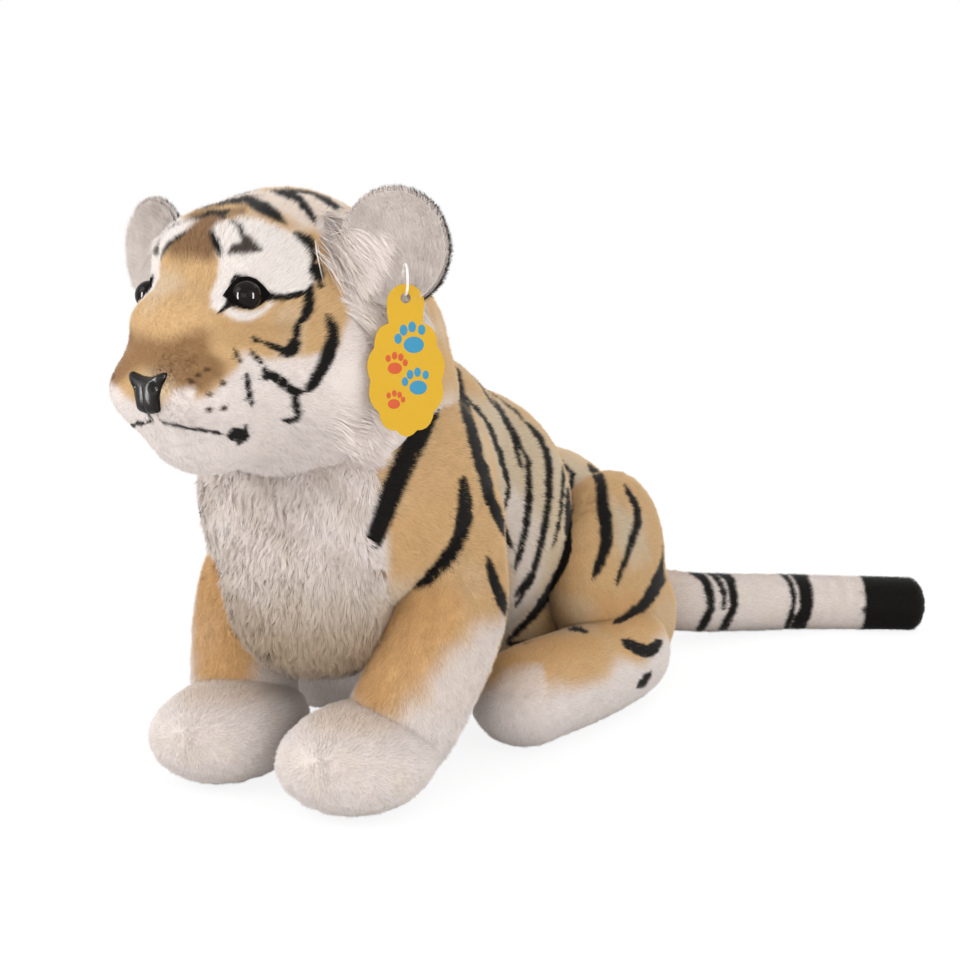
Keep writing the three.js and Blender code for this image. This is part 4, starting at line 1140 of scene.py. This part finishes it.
def skin_frame(place):
    """A frame where the line forward from a place leaves the head: level x, y up, z square to the skin."""
    low, high = 0.0, HEAD[1]
    for _ in range(24):
        half = (low + high) / 2
        inside = forms["head"]["field"](np.array([place - [0, half, 0]]))[0] < 0
        low, high = (half, high) if inside else (low, half)
    origin = place - [0, low, 0]
    shifts = np.vstack([np.eye(3), -np.eye(3)]) * 0.3
    values = forms["head"]["field"](origin + shifts)
    outward = values[:3] - values[3:]
    outward /= np.linalg.norm(outward)
    across = np.cross([0, 0, 1.0], outward)
    across /= np.linalg.norm(across)
    return np.c_[across, np.cross(outward, across), outward], origin


print("nose at", NOSE_PLACE.round(1))


# %% Face
def in_lining(points):
    """True within the almond of black felt behind either eye: two bows that meet at its corners."""
    found = np.zeros(len(points), bool)
    for side in (1, -1):
        axes, origin = skin_frame(EYE_PLACES[side])
        x, y, z = ((points - origin) @ axes).T
        bow = np.clip(1 - (x / LINING_HALF) ** 2, 0, None)
        found |= (y < LINING_UPPER * bow) & (y > -LINING_LOWER * bow) & (np.abs(z) < 12)
    return found


NOSE_TIP = HEAD_PLACE + np.array([0, -0.42, -0.2]) * HEAD


def face_length(roots):
    """Short round the nose and longer away from it, and pressed flat where the tag touches the cheek."""
    away = np.linalg.norm(roots - NOSE_TIP, axis=1)
    return (1.7 + 2.1 * fade(away, 20, 75)) * (1 - 0.75 * tag_press(roots)[:, 0])


cloth("head_cloth", ["head_pelt"], ["head"], paint_head, "neck")
grow("head_pile", "head", "neck", paint_head, lambda roots: roots - NOSE_TIP, face_length, 71, 4.6, ["torso"],
     lambda roots: ~in_lining(roots), width=0.4, stand=0.75, clump=(7, 0.18))

# %% Long hair beside the face
TAG_LOW, TAG_HIGH = np.array(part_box("hang_tag")) / MM
TAG_MIDDLE = (TAG_LOW + TAG_HIGH) / 2
TAG_TURN = np.radians(42)
TAG_FACING = np.array([np.sin(TAG_TURN), -np.cos(TAG_TURN), 0])
TAG_ACROSS = np.array([np.cos(TAG_TURN), np.sin(TAG_TURN), 0])
TAG_HALF_WIDE, TAG_HALF_HIGH, TAG_BEHIND = 19, 36, -3
COLLAR_LINE = np.array([(440, 365), (399, 431), (371, 506), (362, 540), (376, 569), (387, 591), (381, 637),
                        (376, 677)])


def before_collar(tips):
    """True where long hair ends short of the bold stripe over the shoulder, on either side."""
    x, y = pixels_of(np.c_[np.abs(tips[:, 0]), tips[:, 1:]]).T
    return x < np.interp(y, COLLAR_LINE[:, 1], COLLAR_LINE[:, 0])


def behind_tag(roots, nap, length):
    """True where a blade ends clear of the space just behind, in and before the tag."""
    clear = np.ones(len(roots), bool)
    for sign in (1, -1):
        tip = (roots + unit(nap) * length) * [sign, 1, 1] - TAG_MIDDLE
        beside = (np.abs(tip @ TAG_ACROSS) < TAG_HALF_WIDE) & (np.abs(tip[:, 2]) < TAG_HALF_HIGH)
        clear &= ~((tip @ TAG_FACING > TAG_BEHIND) & beside)
    return clear


LONG_HAIR = [("cheek_ruff_pile", ruff_line, 14, [0.9, 0.45, -0.55], 73),
             ("ear_tuft_pile", tuft_line, 29, [0.88, -0.1, -0.45], 77)]
for piece, strokes, length, lean, seed in LONG_HAIR:
    roots, normals = roots_on("head", 7.0, ["torso"], seed)
    amount = mark_amount(roots, normals, "head", strokes, 4, 2 * drift(roots, 9, 74))
    keep = amount > np.random.default_rng(75).random(len(roots))
    roots, normals = roots[keep], normals[keep]
    nap = np.c_[np.sign(roots[:, 0]), np.ones((len(roots), 2))] * lean
    keep = behind_tag(roots, nap, length) & before_collar(roots + unit(nap) * length * 0.8)
    roots, normals, nap = roots[keep], normals[keep], nap[keep]
    hair = plant(piece, roots, normals, nap, paint_white, length, 0.36, 0.35, (9, 0.2), True, seed=seed + 3)
    carry(hair, "neck")

# %% Ruffs
RUFF_REACH = 9


def ruff_free(roots, nap):
    """True where hair of the ruff ends clear of the tag and short of the shoulder stripe."""
    nap = np.tile(nap, (len(roots), 1))
    return behind_tag(roots, nap, 13) & before_collar(roots + unit(nap) * RUFF_REACH)


for name, side in (("left", 1), ("right", -1)):
    nap = [side * 0.8, 0.5, -0.8]
    cloth(f"ruff_cloth_{name}", [f"ruff_{name}"], [f"ruff_{name}"], paint_white, "neck")
    grow(f"ruff_pile_{name}", f"ruff_{name}", "neck", paint_white, nap, 12, 81, 4.0, ["head", "torso"],
         lambda roots: ruff_free(roots, nap), width=0.38, stand=0.45, clump=(9, 0.22), bent=True)

# %% [markdown]
# ## Bib and ears
# The bib is cloth of the longest and loosest pile, on the breast and on a fold between the legs.
# Its blades bend and their nap wanders, which gives it the matted look of brushed plush. An ear
# is two cupped discs: a mottled dark back that shows as a thin rim, and a pale lining.

# %% Bib
torso_grid = forms["torso"]["grid"]
cloth("bib_cloth", ["chest_bib"], ["bib_fold"], paint_bib, "neck")
roots, normals = scatter(grid_points(torso_grid), triangles_of(torso_grid), 4.0, 91)
LEGS = ["leg_left", "leg_right"]
keep = (ball_field(panel_balls, 8, roots) < 0) & outside(roots, ["head", "bib_fold"] + LEGS)
fold_roots, fold_normals = roots_on("bib_fold", 4.0, ["torso", "head"] + LEGS, 92)
roots, normals = np.vstack([roots[keep], fold_roots]), np.vstack([normals[keep], fold_normals])
keep = before_collar(roots + normals * 2 - [0, 0, 5])
roots, normals = roots[keep], normals[keep]
wander = np.stack([drift(roots, 13, 93 + k) for k in range(3)], -1) * 0.5
nap = np.tile([0.0, 0.0, -1.0], (len(roots), 1)) + wander
carry(plant("bib_pile", roots, normals, nap, paint_bib, 7.0, 0.34, 1.0, (5, 0.36), True, seed=94), "neck")

# %% Ears
EAR_COATS = [("ear_back", paint_ear_back, 2.6), ("ear_lining", paint_ear_lining, 3.2)]
EAR_BASE_DROP, EAR_HAIR_LENGTH = 34, 15
for name, side in (("left", 1), ("right", -1)):
    for form, paint, _ in EAR_COATS:
        cloth(f"{form}_cloth_{name}", [f"{form}_{name}"], [f"{form}_{name}"], paint, "head")
    across, high, _, middle = ear_frame(side)
    base = middle - [0, 0, EAR_BASE_DROP]
    roots, normals = roots_on(f"ear_lining_{name}", 7.0, ["head"], 97)
    outward, rise = (roots - middle) @ across * side, (roots - middle) @ high
    edge = -9 + 3 * drift(roots, 7, 98)
    keep = (outward < edge) & (rise < 9) & (-normals[:, 1] > 0.3)
    roots, normals = roots[keep], normals[keep]
    nap = np.tile([side * 0.85, -0.15, -0.5], (len(roots), 1))
    keep = behind_tag(roots, nap, EAR_HAIR_LENGTH)
    carry(plant(f"ear_hair_{name}", roots[keep], normals[keep], nap[keep], paint_white, EAR_HAIR_LENGTH, 0.36,
                0.3, (9, 0.2), True, seed=99), "head")
    for form, paint, size in EAR_COATS:
        grow(f"{form}_pile_{name}", f"{form}_{name}", "head", paint, lambda roots: roots - base, size, 95,
             5.0, ["head"], width=0.36, stand=0.9)

# %% [markdown]
# ## Eyes, nose and linings
# The eyes are moulded half balls of almost black plastic with a deep shine, where every facet would
# show, so they are made again with fine rings. The nose is a block with a dipped top, two nostrils
# and a groove: its outline is a curve through a few points, and the height over it is a formula.


# %% Moulded finishes
def plastic_finish(name, code, roughness, grain, depth, cloud=0.28):
    """Moulded plastic or card: one colour with a little cloudiness, and a fine grain by bump."""
    finish = bpy.data.materials.new(name)
    finish.use_nodes = True
    nodes, links = finish.node_tree.nodes, finish.node_tree.links
    shader = nodes["Principled BSDF"]
    place = nodes.new("ShaderNodeTexCoord")
    noise = nodes.new("ShaderNodeTexNoise")
    noise.inputs["Scale"].default_value = grain
    noise.inputs["Detail"].default_value = 4
    links.new(place.outputs["Object"], noise.inputs["Vector"])
    ramp = nodes.new("ShaderNodeValToRGB")
    ramp.color_ramp.elements[0].color = (*(ink(code) * (1 - cloud)), 1)
    ramp.color_ramp.elements[1].color = (*np.minimum(ink(code) * (1 + cloud), 1), 1)
    links.new(noise.outputs["Fac"], ramp.inputs["Fac"])
    links.new(ramp.outputs["Color"], shader.inputs["Base Color"])
    bump = nodes.new("ShaderNodeBump")
    bump.inputs["Strength"].default_value = depth
    bump.inputs["Distance"].default_value = 0.0003
    links.new(noise.outputs["Fac"], bump.inputs["Height"])
    links.new(bump.outputs["Normal"], shader.inputs["Normal"])
    shader.inputs["Roughness"].default_value = roughness
    return finish


eye_plastic = plastic_finish("eye_plastic", "#080504", 0.05, 300, 0.0)
nose_plastic = plastic_finish("nose_plastic", "#0d0b0a", 0.3, 1400, 0.2)
black_felt = plastic_finish("black_felt", "#100d0c", 0.95, 1800, 0.6)
for finish, level in ((eye_plastic, 0.12), (nose_plastic, 0.14), (black_felt, 0.05)):
    finish.node_tree.nodes["Principled BSDF"].inputs["Specular IOR Level"].default_value = level
washer_plastic = plastic_finish("washer_plastic", "#2a2624", 0.5, 900, 0.2)
loop_plastic = plastic_finish("loop_plastic", "#e6e2dc", 0.3, 600, 0.1)
fibre_filling = plastic_finish("fibre_filling", "#efebe4", 0.95, 500, 0.8)
tag_card = plastic_finish("tag_card", "#c79a00", 0.6, 700, 0.04, 0.04)
blue_ink = plastic_finish("blue_ink", "#2a83a6", 0.6, 900, 0.05, 0.05)
orange_ink = plastic_finish("orange_ink", "#c04c1c", 0.6, 900, 0.05, 0.05)
print("finishes in all:", len(bpy.data.materials))


# %% Eyes and nose
def moulding(name, node, grid, finish):
    """A closed grid as a piece that stands for its CAD node, turned so that its volume is above zero."""
    corners = grid_points(grid)[triangles_of(grid)]
    volume = (corners[:, 0] * np.cross(corners[:, 1], corners[:, 2])).sum() / 6
    grid = grid if volume > 0 else grid[:, ::-1]
    piece = mesh_object(name, grid_points(grid), triangles_of(grid))
    piece.data.materials.append(finish)
    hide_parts(node)
    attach(piece, "head")
    print(name, "volume", round(abs(volume)), "mm3")


EYE_RADIUS, EYE_SINK = 6.5, -0.3
for name, side in (("left", 1), ("right", -1)):
    axes, origin = skin_frame(EYE_PLACES[side])
    polar = np.r_[np.linspace(0, np.pi / 2, 26), np.pi / 2]
    reach = EYE_RADIUS * np.sin(polar) * np.r_[np.ones(26), 0]
    turn = np.linspace(0, 2 * np.pi, 72, endpoint=False)
    local = np.stack([reach[:, None] * np.cos(turn), reach[:, None] * np.sin(turn),
                      EYE_SINK + EYE_RADIUS * np.cos(polar)[:, None] + 0 * turn], -1)
    moulding(f"eye_dome_{name}", f"eye_{name}", origin + local @ axes.T, eye_plastic)

NOSE_HALF = np.array([(0, 5.6), (3.0, 5.9), (6.2, 6.8), (9.0, 7.6), (9.8, 5.4), (8.2, 1.8), (6.8, -2.0),
                      (6.0, -6.0), (5.2, -8.4), (2.4, -9.3), (0, -9.5)])


def nose_grid():
    """Rings from the middle out to the outline; the height is a flat dome less two dents and a groove."""
    outline = np.vstack([NOSE_HALF, NOSE_HALF[-2::-1] * [-1, 1]])
    outline = smooth_path(outline, np.linspace(0, 1, 97)[:-1])
    share = np.r_[np.sin(np.linspace(0, np.pi / 2, 24)), 0][:, None]
    x, y = outline[:, 0] * share, outline[:, 1] * share
    dome = 4.3 * np.sqrt(np.clip(1 - share**3, 0, 1)) + 0.05 * y
    dents = 1.7 * np.exp(-(((np.abs(x) - 5.4) / 1.3) ** 2) - ((y - 1.6) / 1.8) ** 2)
    groove = 0.25 * np.exp(-((x / 0.7) ** 2)) * fade(-y, -3, 1)
    z = dome - dents - groove
    z[-2:] = -0.6
    return np.stack([x, y, z], -1)


axes, origin = skin_frame(NOSE_PLACE)
moulding("nose_block", "nose", origin + nose_grid() @ axes.T, nose_plastic)


# %% Finishes of the solids that stay
def dress(node, finish):
    """The finish on a CAD node that stays: its object's own slot is set."""
    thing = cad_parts[node]
    for material_slot in thing.material_slots:
        material_slot.link = "OBJECT"
        material_slot.material = finish


DRESSES = {"filling": fibre_filling, "pellet_bag": fibre_filling, "washer": washer_plastic,
           "eye_lining": black_felt, "tag_loop": loop_plastic, "hang_tag": tag_card}
dressed = [(node, finish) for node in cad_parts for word, finish in DRESSES.items() if word in node]
for node, finish in dressed:
    dress(node, finish)
print("dressed:", len(dressed), "nodes")

# %% [markdown]
# ## The print on the tag
# The card is printed in blue and orange. Here it shows paw marks: each is a few flat ovals that
# stand as proud as thick ink, so that they are there as shape and not only as colour.

# %% Paw marks
tag_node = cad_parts["hang_tag"].data
tag_points = np.empty(3 * len(tag_node.vertices), np.float32)
tag_node.vertices.foreach_get("co", tag_points)
tag_points = tag_points.reshape(-1, 3) / MM - TAG_MIDDLE
TAG_FRONT = (tag_points @ TAG_FACING).max()
# Each oval of a paw mark: its place across and up, and half its width and height.
PAW_MARK = [(0, -1.6, 3.0, 2.4), (-3.6, 1.6, 1.1, 1.5), (-1.3, 3.3, 1.15, 1.6), (1.3, 3.3, 1.15, 1.6),
            (3.6, 1.6, 1.1, 1.5)]


def oval(x, y, wide, high, rise=0.14):
    """A flat dome on the card: rings of an oval whose height falls as the root of 1 - r squared."""
    share = np.r_[np.sin(np.linspace(0, np.pi / 2, 7)), 0][:, None]
    turn = np.linspace(0, 2 * np.pi, 32, endpoint=False)
    height = rise * np.sqrt(np.clip(1 - share**2, 0, 1)) + 0 * turn
    height[-2:] = -0.1
    local = (TAG_MIDDLE + (x + wide * share * np.cos(turn))[..., None] * TAG_ACROSS
             + (y + high * share * np.sin(turn))[..., None] * np.array([0, 0, 1.0])
             + (TAG_FRONT + height)[..., None] * TAG_FACING)
    corners = grid_points(local)[triangles_of(local)]
    return local if (corners[:, 0] * np.cross(corners[:, 1], corners[:, 2])).sum() > 0 else local[:, ::-1]


def print_mark(name, x, y, size, turn, finish):
    """A paw mark of a size, turned about its middle, as one piece on the tag."""
    grids = []
    turned = np.array([[np.cos(turn), -np.sin(turn)], [np.sin(turn), np.cos(turn)]])
    for px, py, wide, high in PAW_MARK:
        middle = turned @ [px * size, py * size]
        grids.append(oval(x + middle[0], y + middle[1], wide * size, high * size))
    points = np.vstack([grid_points(grid) for grid in grids])
    step = len(points) // len(grids)
    faces = np.vstack([triangles_of(grid) + i * step for i, grid in enumerate(grids)])
    piece = mesh_object(name, points, faces)
    piece.data.materials.append(finish)
    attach(piece, "tag")


# Each mark: its place across and up, size, turn and ink.
TAG_PRINT = [(2.5, 9.0, 1.5, 0.35, blue_ink), (-4.5, -1.5, 1.05, -0.25, orange_ink),
             (4.5, -9.5, 1.3, 0.3, blue_ink), (-5.0, -17.0, 0.9, -0.3, orange_ink)]
for i, row in enumerate(TAG_PRINT):
    print_mark(f"paw_mark_{i + 1}", *row)
print("tag front", round(float(TAG_FRONT), 2), "mm from its middle; box", (TAG_HIGH - TAG_LOW).round(1))

# %% [markdown]
# ## Floor and light
# A pale floor and even, soft light show the pile without hard shadows, as in a catalogue picture.


# %% Floor
FLOOR_SHARE, FLOOR_GLOW, FLOOR_REACH = 0.8, 1.09, 4000


def stage_finish():
    """A pale floor that is nearly white to the camera and keeps a soft shadow."""
    finish = bpy.data.materials.new("pale_floor")
    finish.use_nodes = True
    nodes, links = finish.node_tree.nodes, finish.node_tree.links
    nodes.remove(nodes["Principled BSDF"])
    matte = nodes.new("ShaderNodeBsdfDiffuse")
    matte.inputs["Color"].default_value = (0.85, 0.85, 0.85, 1)
    glow = nodes.new("ShaderNodeEmission")
    ray = nodes.new("ShaderNodeLightPath")
    share = nodes.new("ShaderNodeMath")
    share.operation = "MULTIPLY"
    share.inputs[1].default_value = FLOOR_SHARE
    glow.inputs["Strength"].default_value = FLOOR_GLOW
    links.new(ray.outputs["Is Camera Ray"], share.inputs[0])
    both = nodes.new("ShaderNodeMixShader")
    links.new(share.outputs[0], both.inputs[0])
    links.new(matte.outputs[0], both.inputs[1])
    links.new(glow.outputs[0], both.inputs[2])
    links.new(both.outputs[0], nodes["Material Output"].inputs["Surface"])
    return finish


corners = np.array([[-1, -1, 0], [1, -1, 0], [1, 1, 0], [-1, 1, 0.0]]) * FLOOR_REACH
floor = mesh_object("floor", corners, np.array([[0, 1, 2, 3]]))
floor.data.materials.append(stage_finish())
floor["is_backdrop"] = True
print("floor", 2 * FLOOR_REACH * MM, "m wide")

# %% World
world = bpy.data.worlds.new("studio")
bpy.context.scene.world = world
world.use_nodes = True
nodes, links = world.node_tree.nodes, world.node_tree.links
backdrop = nodes["Background"]
backdrop.inputs["Color"].default_value = (1, 1, 1, 1)
backdrop.inputs["Strength"].default_value = 0.85
seen = nodes.new("ShaderNodeBackground")
seen.inputs["Color"].default_value = (1, 1, 1, 1)
ray = nodes.new("ShaderNodeLightPath")
either = nodes.new("ShaderNodeMath")
either.operation = "MAXIMUM"
links.new(ray.outputs["Is Camera Ray"], either.inputs[0])
links.new(ray.outputs["Is Glossy Ray"], either.inputs[1])
both = nodes.new("ShaderNodeMixShader")
links.new(either.outputs[0], both.inputs[0])
links.new(backdrop.outputs[0], both.inputs[1])
links.new(seen.outputs[0], both.inputs[2])
links.new(both.outputs[0], nodes["World Output"].inputs["Surface"])
print("world light", round(backdrop.inputs["Strength"].default_value, 2))


# %% Lamps
def lamp(name, place, aim, watts, size):
    """A square soft box at a place in mm, turned to face its aim."""
    data = bpy.data.lights.new(name, "AREA")
    data.energy, data.size = watts, size
    thing = bpy.data.objects.new(name, data)
    bpy.context.scene.collection.objects.link(thing)
    away = np.array(place, float) - aim
    away /= np.linalg.norm(away)
    across = np.cross([0, 0, 1], away)
    across /= np.linalg.norm(across)
    thing.matrix_world = placed(across, np.cross(away, across), away, place)
    return thing


MIDDLE, FACE_MIDDLE = np.array([20.0, -100.0, 120.0]), np.array([27.0, -262, 188])
LAMPS = [("key_light", [-700, -1300, 1100], 9, 0.9), ("fill_light", [1500, -500, 600], 5, 1.2),
         ("low_light", [500, -1500, 150], 7, 1.0), ("rim_light", [200, 1300, 1300], 5, 1.2)]
for name, place, watts, size in LAMPS:
    lamp(name, place, MIDDLE, watts, size)
print("lamps:", len(LAMPS))

# %% Lights in the eyes
CATCH_LIGHTS = [("left_catch", [-260, -900, 223]), ("right_catch", [725, -256, 223])]
CATCH_WATTS, CATCH_WIDE, CATCH_HIGH = 18, 0.14, 0.5
shiny = bpy.data.collections.new("shiny")
for piece in ("eye_dome_left", "eye_dome_right", "nose_block"):
    shiny.objects.link(bpy.data.objects[piece])
for name, place in CATCH_LIGHTS:
    catch = lamp(name, place, FACE_MIDDLE, CATCH_WATTS, CATCH_WIDE)
    catch.data.shape, catch.data.size_y = "RECTANGLE", CATCH_HIGH
    catch.visible_camera = False
    catch.light_linking.receiver_collection = shiny

# %% Sizes and finish
bpy.context.scene.view_settings.view_transform = "Standard"
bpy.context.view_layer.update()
meshes = [piece.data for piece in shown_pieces() if piece.type == "MESH"]
faces = [sum(len(polygon.vertices) - 2 for polygon in mesh.polygons) for mesh in meshes]
print("pieces", len(faces), "triangles", sum(faces), "most", max(faces))
